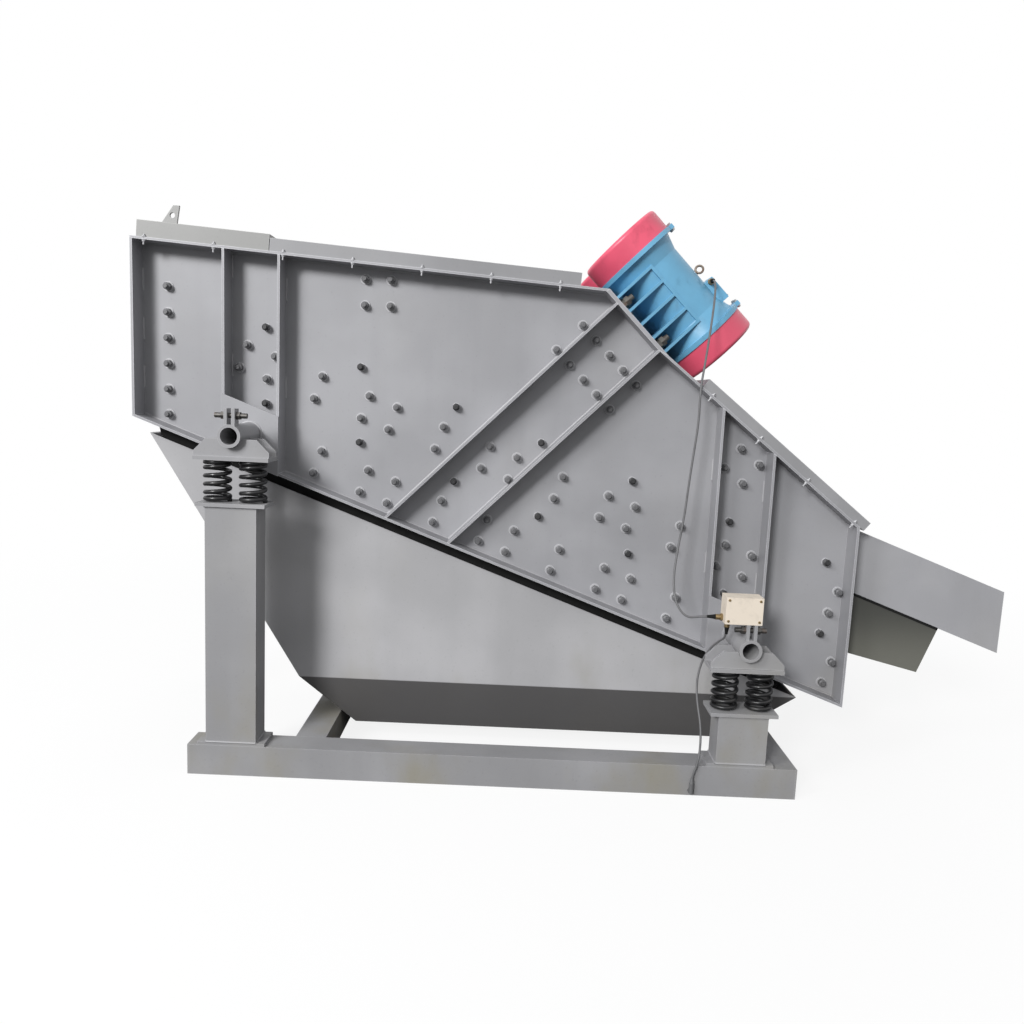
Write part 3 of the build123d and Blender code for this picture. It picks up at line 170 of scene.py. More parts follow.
class Finish:
    """A material, with the calls that put its nodes together."""

    def __init__(self, name, roughness=0.5, metallic=0.0):
        self.material = bpy.data.materials.new(name)
        self.material.use_nodes = True
        self.tree = self.material.node_tree
        self.shader = self.tree.nodes["Principled BSDF"]
        self.set("Roughness", roughness)
        self.set("Metallic", metallic)

    def feed(self, socket, value):
        if isinstance(value, Number):
            value = value.socket
        if isinstance(value, bpy.types.NodeSocket):
            self.tree.links.new(value, socket)
        else:
            socket.default_value = value

    def set(self, name, value):
        self.feed(self.shader.inputs[name], value)

    def node(self, kind, settings=None, sockets=None):
        node = self.tree.nodes.new(kind)
        for key, value in (settings or {}).items():
            setattr(node, key, value)
        for key, value in (sockets or {}).items():
            self.feed(node.inputs[key], value)
        return node

    def number(self, kind, settings=None, sockets=None, out=0):
        return Number(self, self.node(kind, settings, sockets).outputs[out])

    def place(self):
        return self.node("ShaderNodeTexCoord").outputs["Object"]

    def axes(self):
        split = self.node("ShaderNodeSeparateXYZ", None, {0: self.place()})
        return [Number(self, out) for out in split.outputs]

    def noise(self, scale, detail=3.0, stretch=(1, 1, 1), shift=(0, 0, 0)):
        sockets = {"Vector": self.place(), "Scale": stretch, "Location": shift}
        moved = self.node("ShaderNodeMapping", None, sockets)
        sockets = {"Vector": moved.outputs[0], "Scale": scale, "Detail": detail}
        return self.number("ShaderNodeTexNoise", None, sockets)

    def ramp(self, value, low, high):
        """0 below low, 1 above high, smooth between."""
        settings = {"interpolation_type": "SMOOTHSTEP"}
        sockets = {"Value": value, "From Min": low, "From Max": high}
        return self.number("ShaderNodeMapRange", settings, sockets)

    def mix(self, share, first, second):
        sockets = {0: share, 6: first, 7: second}
        return self.node("ShaderNodeMix", {"data_type": "RGBA"}, sockets).outputs[2]

    def edges(self, width):
        """1 on edges and 0 on flat faces."""
        rounded = self.node("ShaderNodeBevel", {"samples": 4}, {"Radius": width})
        flat = self.node("ShaderNodeNewGeometry")
        sockets = {0: rounded.outputs[0], 1: flat.outputs["Normal"]}
        turned = self.node("ShaderNodeVectorMath", {"operation": "DOT_PRODUCT"}, sockets)
        return 1 - Number(self, turned.outputs["Value"])

    def bump(self, height, strength, distance):
        sockets = {"Height": height, "Strength": strength, "Distance": distance}
        self.set("Normal", self.node("ShaderNodeBump", None, sockets).outputs[0])


def tint(colour, factor):
    """Lighter or darker colour, with its alpha."""
    return (*[min(1.0, part * factor) for part in colour[:3]], 1.0)


def painted_steel(name, colour, dust=0.35, edge_wear_and_highlight=0.6, bright=1.55, foot=None):
    """Satin grey paint on plate: cloudy tone, drip streaks, dust low down and rubbed edges that are so many
    times as bright, which on the ribs and flanges are also a painted highlight. A foot gives the height where
    another colour starts to come in, the height below which it is whole, and that colour; it paints shade:
    the hopper's dark lower band, and the lower chute's dark paint that lightens towards its foot."""
    paint = Finish(name)
    _, _, height = paint.axes()
    cloud = paint.ramp(paint.noise(1.7, 4), 0.36, 0.66)
    streak = paint.ramp(paint.noise(7, 3, (1, 1, 0.07)), 0.45, 0.75)
    speck = paint.ramp(paint.noise(90, 2), 0.62, 0.75)
    tone = paint.mix(cloud, tint(colour, 0.90), tint(colour, 1.06))
    tone = paint.mix(streak * 0.22, tone, tint(colour, 0.72))
    low = 1 - paint.ramp(height, 0.02, 0.75)
    grime = (low * 0.75 + 0.12) * paint.ramp(paint.noise(3.1, 5, (1, 1, 0.6), (4, 2, 1)), 0.46, 0.72) * dust
    tone = paint.mix(grime, tone, (0.27, 0.25, 0.185, 1))
    tone = paint.mix(speck * 0.18, tone, tint(colour, 0.55))
    # Lighter rubbed edges: paint wear, and on the ribs and flanges also a painted highlight
    edge_wear_and_highlight_mask = paint.ramp(paint.edges(0.004) + paint.noise(24, 3) * 0.06, 0.05, 0.16) * edge_wear_and_highlight
    tone = paint.mix(edge_wear_and_highlight_mask, tone, tint(colour, bright))
    # Painted shade: the foot colour takes over below a height
    if foot:
        start, whole, foot_shading_colour = foot
        tone = paint.mix((1 - paint.ramp(height, whole, start)) * 0.94, tone, (*foot_shading_colour, 1))
    paint.set("Base Color", tone)
    paint.set("Roughness", 0.42 + cloud * 0.1 + grime * 0.25 + speck * 0.08)
    paint.bump(paint.noise(160, 2) * 0.4 + paint.noise(9, 2), 0.25, 0.0012)
    return paint.material


def bare_steel(name, colour, rust=0.3, roughness=0.36):
    """Turned or zinc-plated steel with a little rust."""
    steel = Finish(name, metallic=0.85)
    stain = steel.ramp(steel.noise(30, 4), 0.5, 0.72) * rust
    grain = steel.noise(140, 2, (1, 1, 0.25))
    tone = steel.mix(steel.ramp(grain, 0.3, 0.7), tint(colour, 0.85), tint(colour, 1.1))
    steel.set("Base Color", steel.mix(stain, tone, (0.17, 0.075, 0.035, 1)))
    steel.set("Metallic", 0.85 - stain * 0.8)
    steel.set("Roughness", roughness + grain * 0.12 + stain * 0.4)
    steel.bump(grain + stain, 0.2, 0.0008)
    return steel.material


def enamel(name, colour, dark, roughness=0.38, cast=0.0):
    """Glossy machine enamel, over a sand-cast skin where cast is set."""
    coat = Finish(name)
    cloud = coat.ramp(coat.noise(5, 4), 0.35, 0.7)
    dirt = coat.ramp(coat.noise(17, 5, (1, 1, 0.6)), 0.56, 0.78)
    chip = coat.ramp(coat.edges(0.003) + coat.noise(60, 3) * 0.09, 0.11, 0.17)
    tone = coat.mix(cloud, tint(colour, 0.9), tint(colour, 1.07))
    tone = coat.mix(dirt * 0.35, tone, dark)
    coat.set("Base Color", coat.mix(chip * 0.45, tone, tint(colour, 1.5)))
    coat.set("Roughness", roughness + dirt * 0.25 + cloud * 0.06)
    coat.bump(coat.noise(210, 2) * cast + coat.noise(14, 2), 0.3, 0.0010)
    return coat.material


def moulded(name, colour, roughness=0.55, grain=320.0, shine=0.5):
    """Moulded plastic or rubber with a fine grain and finger marks."""
    plastic = Finish(name)
    plastic.set("Specular IOR Level", shine)
    smear = plastic.ramp(plastic.noise(22, 3), 0.45, 0.7)
    plastic.set("Base Color", plastic.mix(smear * 0.5, colour, tint(colour, 0.74)))
    plastic.set("Roughness", roughness + smear * 0.12)
    plastic.bump(plastic.noise(grain, 2), 0.2, 0.0004)
    return plastic.material


PLATE_GREY = (0.330, 0.330, 0.347)
plate_paint = painted_steel("plate_paint", PLATE_GREY)
# Ribs and flanges: their brighter rubbed edges are a painted highlight as well as wear
edge_paint_and_highlight = painted_steel("edge_paint_and_highlight", PLATE_GREY, edge_wear_and_highlight=1.0, bright=1.95)
frame_paint = painted_steel("frame_paint", (0.320, 0.319, 0.330), dust=0.8)
# Hopper paint with painted shade: dark below the knee of its lower band, which faces down
hopper_paint_and_shade = painted_steel("hopper_paint_and_shade", (0.420, 0.418, 0.430), dust=0.7, edge_wear_and_highlight=0.4,
                             foot=(0.313, 0.306, (0.105, 0.102, 0.102)))
cover_paint = painted_steel("cover_paint", (0.262, 0.262, 0.272), dust=0.3, edge_wear_and_highlight=0.9)
inlet_paint = painted_steel("inlet_paint", (0.262, 0.262, 0.256), dust=0.6, edge_wear_and_highlight=0.9)
slant_paint = painted_steel("slant_paint", (0.315, 0.315, 0.326), dust=0.3, edge_wear_and_highlight=0.9)
chute_paint = painted_steel("chute_paint", (0.40, 0.40, 0.42), dust=0.6)
# Lower chute: its dark colour is painted shade from the upper chute overhead, lighter towards its bottom
low_chute_paint_and_shade = painted_steel("low_chute_paint_and_shade", (0.060, 0.061, 0.055), dust=0.4, edge_wear_and_highlight=0.3,
                                foot=(0.76, 0.46, (0.160, 0.160, 0.138)))
weld_paint = painted_steel("weld_paint", (0.37, 0.37, 0.384), dust=0.5, edge_wear_and_highlight=0.1)
nut_paint = painted_steel("nut_paint", (0.120, 0.120, 0.126), dust=0.2, edge_wear_and_highlight=0.9)
row_paint = painted_steel("row_paint", (0.030, 0.030, 0.032), dust=0.2, edge_wear_and_highlight=0.5)
washer_paint = painted_steel("washer_paint", (0.42, 0.42, 0.435), dust=0.3, edge_wear_and_highlight=0.9)
inner_paint = painted_steel("inner_paint", (0.20, 0.20, 0.205), dust=0.9, edge_wear_and_highlight=0.4)
bolt_steel = bare_steel("bolt_steel", (0.50, 0.50, 0.50), rust=0.3, roughness=0.45)
black_steel = bare_steel("black_steel", (0.11, 0.105, 0.10), rust=0.35, roughness=0.45)
screen_steel = bare_steel("screen_steel", (0.45, 0.44, 0.42), rust=0.5, roughness=0.45)
rotor_steel = bare_steel("rotor_steel", (0.5, 0.5, 0.5), rust=0.15)
eye_steel = bare_steel("eye_steel", (0.22, 0.18, 0.15), rust=0.8, roughness=0.5)
foot_steel = bare_steel("foot_steel", (0.13, 0.125, 0.115), rust=0.5, roughness=0.6)
spring_black = enamel("spring_black", (0.012, 0.012, 0.013), (0.06, 0.057, 0.050, 1), 0.30)
motor_blue = enamel("motor_blue", (0.15, 0.40, 0.60), (0.03, 0.08, 0.14, 1), 0.36, cast=0.6)
cover_red = enamel("cover_red", (0.76, 0.10, 0.17), (0.25, 0.03, 0.05, 1), 0.32)
box_beige = moulded("box_beige", (0.80, 0.71, 0.60, 1))
gland_brass = bare_steel("gland_brass", (0.34, 0.25, 0.13), rust=0.4)
cable_grey = moulded("cable_grey", (0.14, 0.14, 0.145, 1), 0.5)
rubber_black = moulded("rubber_black", (0.014, 0.014, 0.014, 1), 0.8, shine=0.12)


def dress(material, *names):
    """Give CAD nodes their finish."""
    for name in names:
        mesh = nodes[name].data
        mesh.materials.clear()
        mesh.materials.append(material)


dress(plate_paint, "side_plate_near", "side_plate_far", "trunnion_pads", "feed_end_wall")
dress(edge_paint_and_highlight, "edge_flanges_near", "edge_flanges_far", "side_ribs_near", "side_ribs_far", "motor_plate")
dress(frame_paint, "base_beam_near", "base_beam_far", "base_cross_beam_feed", "base_cross_beam_discharge",
      "post_feed_near", "post_feed_far", "post_discharge_near", "post_discharge_far", "hopper_brackets",
      "trunnion_pipes", "spring_saddles", "trunnion_ears")
dress(hopper_paint_and_shade, "hopper_near_wall", "hopper_far_wall", "hopper_feed_wall", "hopper_discharge_wall")
dress(cover_paint, "top_cover")
dress(inlet_paint, "feed_inlet")
dress(slant_paint, "discharge_cover")
dress(chute_paint, "upper_chute")
dress(low_chute_paint_and_shade, "lower_chute")
dress(inner_paint, "drive_beam", "upper_cross_beams", "lower_cross_beams", "deck_stringers")
dress(screen_steel, "upper_screen", "lower_screen")
dress(nut_paint, "side_bolts_near", "side_bolts_far")
dress(black_steel, "clamp_bolts")
dress(foot_steel, "motor_foot_bolts")
dress(rotor_steel, "rotor_shaft_near", "rotor_shaft_far", "rotor_weights_near", "rotor_weights_far",
      "motor_stators", "motor_bearings")
dress(motor_blue, "motor_body_near", "motor_body_far", "terminal_boxes")
dress(cover_red, "motor_covers_near", "motor_covers_far")
dress(box_beige, "junction_box", "junction_lid")
dress(gland_brass, "cable_glands")
dress(cable_grey, "cable_elbow")

# Cables, along the routes of their solids
MOTOR_ROUTE = (
    (0.5454, -0.388, 2.1058), (0.5454, -0.440, 2.1058), (0.538, -0.500, 2.055), (0.522, -0.560, 1.965),
    (0.502, -0.618, 1.860), (0.478, -0.680, 1.740), (0.456, -0.726, 1.630), (0.458, -0.732, 1.500),
    (0.446, -0.733, 1.370), (0.434, -0.737, 1.240), (0.424, -0.742, 1.100), (0.402, -0.755, 0.960),
    (0.388, -0.785, 0.845), (0.397, -0.824, 0.758), (0.430, -0.888, 0.716), (0.484, -0.925, 0.736),
    (0.538, -0.925, 0.736),
)
SUPPLY_ROUTE = (
    (0.592, -0.905, 0.6917), (0.592, -0.905, 0.6497), (0.578, -0.864, 0.6217), (0.554, -0.822, 0.5797),
    (0.528, -0.806, 0.5197), (0.512, -0.812, 0.4547), (0.507, -0.832, 0.3977), (0.509, -0.868, 0.3427),
    (0.517, -0.902, 0.2827), (0.516, -0.932, 0.226), (0.508, -0.962, 0.176), (0.499, -0.971, 0.132),
    (0.488, -0.971, 0.100), (0.483, -0.971, 0.074), (0.483, -0.971, 0.034),
)


def cable_curve(name, route):
    """Smooth curve that takes the route's points as its control points."""
    curve = bpy.data.curves.new(name, "CURVE")
    curve.dimensions = "3D"
    curve.resolution_u = 8
    line = curve.splines.new("NURBS")
    line.points.add(len(route) - 1)
    for point, place in zip(line.points, route):
        point.co = (*place, 1)
    line.order_u = 3
    line.use_endpoint_u = True
    piece = bpy.data.objects.new(name, curve)
    scene.collection.objects.link(piece)
    return piece


def round_off(piece):
    """Give a cable's curve its thickness."""
    piece.data.bevel_depth = CABLE_RADIUS
    piece.data.bevel_resolution = 3
    piece.data.use_fill_caps = True


motor_lead = cable_curve("motor_lead", MOTOR_ROUTE)
round_off(motor_lead)
motor_lead.data.materials.append(cable_grey)
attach(motor_lead, "sieve_box")
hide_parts("motor_cable")

supply_line = cable_curve("supply_line", SUPPLY_ROUTE)
bpy.context.view_layer.update()
supply_path = [vertex.co.copy() for vertex in bpy.data.meshes.new_from_object(supply_line).vertices]
round_off(supply_line)
bpy.context.view_layer.update()
depsgraph = bpy.context.evaluated_depsgraph_get()
supply_mesh = bpy.data.meshes.new_from_object(supply_line.evaluated_get(depsgraph))
supply_lead = bpy.data.objects.new("supply_lead", supply_mesh)
scene.collection.objects.link(supply_lead)
bpy.data.objects.remove(supply_line)
supply_mesh.materials.clear()
supply_mesh.materials.append(cable_grey)
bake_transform(supply_lead)
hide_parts("supply_cable")

# Added pieces


def link_piece(shape, name, material, body):
    """Make a finished bmesh a piece that moves with a body."""
    mesh = bpy.data.meshes.new(name)
    shape.to_mesh(mesh)
    shape.free()
    mesh.materials.append(material)
    piece = bpy.data.objects.new(name, mesh)
    scene.collection.objects.link(piece)
    if body:
        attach(piece, body)
    return piece


def peg(shape, foot, axis, radius, length, sides=6, tip=None):
    """Add a prism or taper that stands on a point."""
    axis = Vector(axis).normalized()
    turn = axis.to_track_quat("Z", "X").to_matrix().to_4x4()
    place = Matrix.Translation(Vector(foot) + axis * length / 2) @ turn
    tip = radius if tip is None else tip
    bmesh.ops.create_cone(shape, cap_ends=True, segments=sides, radius1=radius, radius2=tip, depth=length,
                          matrix=place)


def bolt(shape, foot, axis, radius, height, washer=1.4):
    """Add a hexagon head or nut on a washer that is so many times as wide."""
    axis = Vector(axis).normalized()
    foot = Vector(foot)
    peg(shape, foot, axis, radius * washer, height * 0.16, 16)
    peg(shape, foot + axis * height * 0.16, axis, radius, height * 0.7, 6)
    peg(shape, foot + axis * height * 0.86, axis, radius * 0.86, height * 0.14, 12, radius * 0.62)


def bead(shape, start, end, radius=0.0045):
    """Add a weld bead along a seam."""
    run = Vector(end) - Vector(start)
    peg(shape, start, run, radius, run.length, 8)


def stitch(shape, start, end, pitch=0.20, run=0.09):
    """Add a seam of short weld beads, as many as fit."""
    seam = Vector(end) - Vector(start)
    step = seam.normalized()
    for i in range(int(seam.length / pitch)):
        foot = Vector(start) + step * (pitch * (i + 1) - run)
        bead(shape, foot, foot + step * run, 0.0055)


def ring_bead(shape, centre, axis, ring_radius, radius=0.005):
    """Add a weld bead round a pipe."""
    axis = Vector(axis).normalized()
    spoke = axis.orthogonal().normalized()
    place = Matrix.Translation(Vector(centre) + spoke * ring_radius)
    place = place @ axis.cross(spoke).to_track_quat("Z", "X").to_matrix().to_4x4()
    circle = bmesh.ops.create_circle(shape, segments=8, radius=radius, matrix=place)["verts"]
    edges = list(dict.fromkeys(edge for vertex in circle for edge in vertex.link_edges))
    bmesh.ops.spin(shape, geom=circle + edges, cent=centre, axis=axis, angle=2 * pi, steps=28, use_merge=True)


def islands(name):
    """Middle of every separate solid in a CAD node, in the order of its vertices."""
    shape = bmesh.new()
    shape.from_mesh(nodes[name].data)
    bmesh.ops.remove_doubles(shape, verts=shape.verts, dist=0.00001)
    reached = set()
    middles = []
    for first in shape.verts:
        if first in reached:
            continue
        reached.add(first)
        group = [first]
        for vertex in group:
            for edge in vertex.link_edges:
                other = edge.other_vert(vertex)
                if other not in reached:
                    reached.add(other)
                    group.append(other)
        middles.append(sum((vertex.co for vertex in group), Vector()) / len(group))
    shape.free()
    return middles


# Ribbed boots where the cables leave their glands and enter the elbow
BOOT_STEPS = 5
BOOT_RADIUS = 0.0100
ELBOW_MOUTH_Z = 0.056
ELBOW_BOOT_RADIUS = 0.0086


def boot(shape, mouth, axis, length, wide):
    """Add a rubber boot that tapers to the cable in steps."""
    axis = Vector(axis).normalized()
    step = length / BOOT_STEPS
    for i in range(BOOT_STEPS):
        radius = wide + (CABLE_RADIUS * 1.12 - wide) * i / BOOT_STEPS
        peg(shape, Vector(mouth) + axis * step * i, axis, radius, step, 20, radius * 0.86)


shape = bmesh.new()
boot(shape, MOTOR_ROUTE[0], NEAR, 0.034, BOOT_RADIUS)
boot(shape, MOTOR_ROUTE[-1], (-1, 0, 0), 0.034, BOOT_RADIUS)
boot(shape, SUPPLY_ROUTE[0], -UP, 0.030, BOOT_RADIUS)
link_piece(shape, "gland_boots", rubber_black, "sieve_box")
shape = bmesh.new()
boot(shape, (SUPPLY_ROUTE[-1][0], SUPPLY_ROUTE[-1][1], ELBOW_MOUTH_Z), UP, 0.022, ELBOW_BOOT_RADIUS)
link_piece(shape, "elbow_boot", cable_grey, "base_frame")

# Coil springs with closed, ground ends, stretched between the posts and the saddles
SPRING_RADIUS = 0.0465
SPRING_WIRE = 0.0085
SPRING_FOOT = 0.005
SPRING_HALF_SPACING = 0.070
TURN_STEPS = 36
WIRE_SIDES = 12
# Turns and rise of the lower end, the free coils and the upper end
COILS = ((1.0, 0.0125), (4.0, 0.130), (1.0, 0.0125))


def add_spring(shape, foot):
    """Add one spring that stands on a point, with closed coils below and above its free ones."""
    foot = Vector(foot)
    start = foot + Vector((SPRING_RADIUS, 0, SPRING_FOOT))
    place = Matrix.Translation(start) @ Matrix.Rotation(pi / 2, 4, "X")
    end = bmesh.ops.create_circle(shape, segments=WIRE_SIDES, radius=SPRING_WIRE, cap_ends=True,
                                  matrix=place)["verts"]
    for turns, rise in COILS:
        steps = int(turns * TURN_STEPS)
        around = dict.fromkeys(face for vertex in end for face in vertex.link_faces)
        faces = [face for face in around if len(face.verts) == WIRE_SIDES]
        edges = list(dict.fromkeys(edge for face in faces for edge in face.edges))
        swept = bmesh.ops.spin(shape, geom=end + edges + faces, cent=foot, axis=UP, dvec=UP * rise / steps,
                               angle=turns * 2 * pi, steps=steps)["geom_last"]
        end = [part for part in swept if isinstance(part, bmesh.types.BMVert)]


def spring_set(name, node, x):
    """Make the four springs of one end of the machine."""
    low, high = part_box(node)
    shape = bmesh.new()
    for i in SIDES:
        for j in SIDES:
            add_spring(shape, (x + i * SPRING_HALF_SPACING, j * POST_Y, low.z))
    bmesh.ops.remove_doubles(shape, verts=shape.verts, dist=0.00005)
    for height, outward in ((low.z, -UP), (high.z, UP)):
        parts = list(shape.verts) + list(shape.edges) + list(shape.faces)
        cut = bmesh.ops.bisect_plane(shape, geom=parts, plane_co=(0, 0, height), plane_no=outward,
                                     clear_outer=True)
        loops = [part for part in cut["geom_cut"] if isinstance(part, bmesh.types.BMEdge)]
        bmesh.ops.holes_fill(shape, edges=loops)
    bmesh.ops.recalc_face_normals(shape, faces=shape.faces)
    for face in shape.faces:
        face.smooth = True
    piece = link_piece(shape, name, spring_black, None)
    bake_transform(piece)
    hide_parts(node)


spring_set("feed_springs", "springs_feed", TRUNNION_X[0])
spring_set("discharge_springs", "springs_discharge", TRUNNION_X[1])

# Washers and stud ends of the nuts on the side plates, with smaller washers and blacker ends along the two
# rows of screen clamps, and the four nuts of the tie beam under the slanted cover
NUT_RADIUS = 0.016
NUT_HEIGHT = 0.024
NUT_TIP = 0.003
NUT_TIP_RADIUS = 0.0150
STUD_RADIUS = 0.0088
STUD_LENGTH = 0.010
WASHER_RADIUS = 0.0220
ROW_WASHER_RADIUS = 0.0175
WASHER_THICKNESS = 0.004
CLAMP_START_X = -1.60
CLAMP_ROWS = (0.250, 0.544)
CLAMP_ROW_WIDTH = 0.028
TIE_MIDDLE = Vector((0.678, 0, 1.316))
TIE_HALF_SPACING = 0.0525
feed_corner = Vector((FEED_X, 0, FEED_BOTTOM_Z))
tie_spots = [TIE_MIDDLE + (slant * i + slant_up * j) * TIE_HALF_SPACING for i in SIDES for j in SIDES]
for name, facing in (("near", NEAR), ("far", -NEAR)):
    washers = bmesh.new()
    studs = bmesh.new()
    row_studs = bmesh.new()
    for spot in tie_spots:
        peg(studs, (spot.x, facing.y * PLATE_Y, spot.z), facing, NUT_RADIUS, NUT_HEIGHT)
    for middle in islands(f"side_bolts_{name}") + tie_spots:
        face = Vector((middle.x, facing.y * PLATE_Y, middle.z))
        rise = (Vector((middle.x, 0, middle.z)) - feed_corner).dot(OFF_DECK)
        in_row = middle.x > CLAMP_START_X and min(abs(rise - row) for row in CLAMP_ROWS) < CLAMP_ROW_WIDTH
        wide = ROW_WASHER_RADIUS if in_row else WASHER_RADIUS
        ends = row_studs if in_row else studs
        peg(washers, face, facing, wide, WASHER_THICKNESS, 20, wide - 0.001)
        peg(ends, face + facing * NUT_HEIGHT, facing, NUT_TIP_RADIUS, NUT_TIP, 12, 0.0105)
        peg(ends, face + facing * (NUT_HEIGHT + NUT_TIP), facing, STUD_RADIUS, STUD_LENGTH, 10, 0.0076)
    link_piece(washers, f"side_washers_{name}", washer_paint, "sieve_box")
    link_piece(studs, f"side_studs_{name}", nut_paint, "sieve_box")
    link_piece(row_studs, f"clamp_studs_{name}", row_paint, "sieve_box")

# Hook bolts that hold the covers down on the edge flanges
HOOK_Y = FLANGE_Y - 0.0055
HOOK_RADIUS = 0.0032
HOOK_DEPTH = 0.030
HOOK_LENGTH = 0.042
HOOK_NUT_RADIUS = 0.0062
TOP_START = Vector((FEED_X, 0, FEED_TOP_Z))
hook_places = [(TOP_START + top_run * (0.056 + 0.280 * i), top_up) for i in range(7)]
hook_places += [(SLANT_START + slant * (0.244 + 0.267 * i), slant_up) for i in range(4)]
shape = bmesh.new()
for place, up in hook_places:
    for facing in SIDES:
        spot = Vector((place.x, facing * HOOK_Y, place.z))
        peg(shape, spot - up * HOOK_DEPTH, up, HOOK_RADIUS, HOOK_LENGTH, 10)
        bolt(shape, spot - up * FLANGE, -up, HOOK_NUT_RADIUS, 0.008)
        bolt(shape, spot, up, HOOK_NUT_RADIUS, 0.007)
link_piece(shape, "cover_bolts", washer_paint, "sieve_box")

# Weld beads where ribs, flanges, pads, pipes and posts meet
RIB_TOP_GAP = 0.013
RIB_STITCH = 0.40
SEAM_INSET = 0.012
SEAM_RISE = 0.011
seam_start = FEED_X + SEAM_INSET
seam_end = DISCHARGE_X - SEAM_INSET
shape = bmesh.new()
for facing in SIDES:
    plate_y = facing * (PLATE_Y + 0.001)
    for trunnion in TRUNNION_X:
        for i in SIDES:
            for skin in SIDES:
                x = trunnion + i * RIB_HALF_SPACING + skin * RIB_HALF
                start = (x, plate_y, lower_edge(x, FLANGE))
                stitch(shape, start, (x, plate_y, rib_top(x) - RIB_TOP_GAP), RIB_STITCH)
        centre = Vector((trunnion, facing * PAD_FACE_Y, lower_edge(trunnion, TRUNNION_RISE)))
        ring_bead(shape, centre, (0, 1, 0), PIPE_RADIUS)
    for along in DRIVE_RIBS:
        for skin in SIDES:
            start = seat(along + skin * RIB_HALF, -0.016, plate_y)
            reach = (start.z - lower_edge(start.x, FLANGE)) / (THROW.z + THROW.x * tan(DECK_SLOPE))
            bead(shape, start, start - THROW * reach)
    end_x = FEED_X + FLANGE
    stitch(shape, (end_x, plate_y, lower_edge(end_x, FLANGE)), (end_x, plate_y, top_edge(end_x) - FLANGE))
    bead(shape, (seam_start, plate_y, lower_edge(seam_start, SEAM_RISE)),
         (seam_end, plate_y, lower_edge(seam_end, SEAM_RISE)))
    bead(shape, (seam_start, plate_y, top_edge(FEED_X) - SEAM_RISE),
         (SEAT_START_X, plate_y, top_edge(SEAT_START_X) - SEAM_INSET))
link_piece(shape, "box_welds", weld_paint, "sieve_box")

POST_FOOT_Z = 0.140
SPRING_SEAT = 0.0155
ROUND_POST = ((-1, -1), (1, -1), (1, 1), (-1, 1))
shape = bmesh.new()
for name, x in (("post_feed", TRUNNION_X[0]), ("post_discharge", TRUNNION_X[1])):
    _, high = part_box(f"{name}_near")
    for j in SIDES:
        for height in (POST_FOOT_Z, high.z - SPRING_SEAT):
            middle = Vector((x, j * POST_Y, height))
            corners = [middle + Vector((a * POST_HALF_X, b * POST_HALF_Y, 0)) for a, b in ROUND_POST]
            for i in range(4):
                bead(shape, corners[i], corners[(i + 1) % 4], 0.004)
link_piece(shape, "post_welds", weld_paint, "base_frame")

# Rubber skirts that hang from the box into the hopper, and dark rubber seals between the chutes that also
# stand in for the shade under the upper chute. Their corners are given along the box's lower edge and above
# it
SKIRT = ((0.066, 0.0), (0.125, -0.085), (2.955, -0.085), (2.990, 0.0))
SKIRT_Y = 0.6005
SKIRT_THICKNESS = 0.005
# Seal strips, dark, that also stand in for the shade under the upper chute
SEAL_AND_SHADE_STRIP = ((3.068, 0.457), (3.068, 0.468), (3.512, 0.468), (3.512, 0.457))
SEAL_Y = 0.6000
SEAL_THICKNESS = 0.003


def deck_strip(shape, corners, y, thickness):
    """Add a sheet of rubber that stands upright beside the box."""
    face = [shape.verts.new(Vector((FEED_X, y, FEED_BOTTOM_Z)) + DOWN_DECK * along + OFF_DECK * rise)
            for along, rise in corners]
    sheet = shape.faces.new(face)
    back = bmesh.ops.extrude_face_region(shape, geom=[sheet])["geom"]
    moved = [part for part in back if isinstance(part, bmesh.types.BMVert)]
    bmesh.ops.translate(shape, verts=moved, vec=(0, thickness, 0))


shape = bmesh.new()
for facing in SIDES:
    deck_strip(shape, SKIRT, facing * SKIRT_Y, facing * SKIRT_THICKNESS)
    deck_strip(shape, SEAL_AND_SHADE_STRIP, facing * SEAL_Y, facing * SEAL_THICKNESS)
bmesh.ops.recalc_face_normals(shape, faces=shape.faces)
link_piece(shape, "rubber_skirts", rubber_black, "sieve_box")

# Motor details: eye bolts, lock nuts on the feet, bolts in the flange tabs and terminal box screws
EYE_TURN = radians(72)
EYE_RING = 0.017
EYE_HEIGHT = 0.026
FOOT_NUT_HALF = 0.012
LOCK_NUT_RADIUS = 0.0235
LOCK_NUT_HEIGHT = 0.020
TAB_HEIGHT = 0.209
TAB_HALF_SPACING = 0.020
TAB_THICKNESS = 0.020
TAB_BOLT_RADIUS = 0.007
TAB_BOLT_HEIGHT = 0.010
TERMINAL_ALONG = 0.1155
TERMINAL_TOP = 0.192
eye_axis = ALONG * cos(EYE_TURN) + Vector((0, sin(EYE_TURN), 0))
eyes = bmesh.new()
for y in (-MOTOR_Y, MOTOR_Y):
    foot = seat(MOTOR_ALONG_SEAT, MOTOR_AXIS_HEIGHT + MOTOR_RADIUS, y)
    peg(eyes, foot - THROW * 0.002, THROW, 0.0125, 0.007, 20)
    peg(eyes, foot, THROW, 0.0075, 0.012, 16, 0.0060)
    ring_bead(eyes, foot + THROW * EYE_HEIGHT, eye_axis, EYE_RING, 0.005)
bmesh.ops.recalc_face_normals(eyes, faces=eyes.faces)
eye_bolts = link_piece(eyes, "eye_bolts", eye_steel, "sieve_box")
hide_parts("motor_eye_bolts")

shape = bmesh.new()
for middle in islands("motor_foot_bolts"):
    top = middle + THROW * FOOT_NUT_HALF
    peg(shape, top, THROW, LOCK_NUT_RADIUS, LOCK_NUT_HEIGHT)
    peg(shape, top + THROW * LOCK_NUT_HEIGHT, THROW, 0.0140, 0.022, 14, 0.0125)
link_piece(shape, "foot_lock_nuts", foot_steel, "sieve_box")

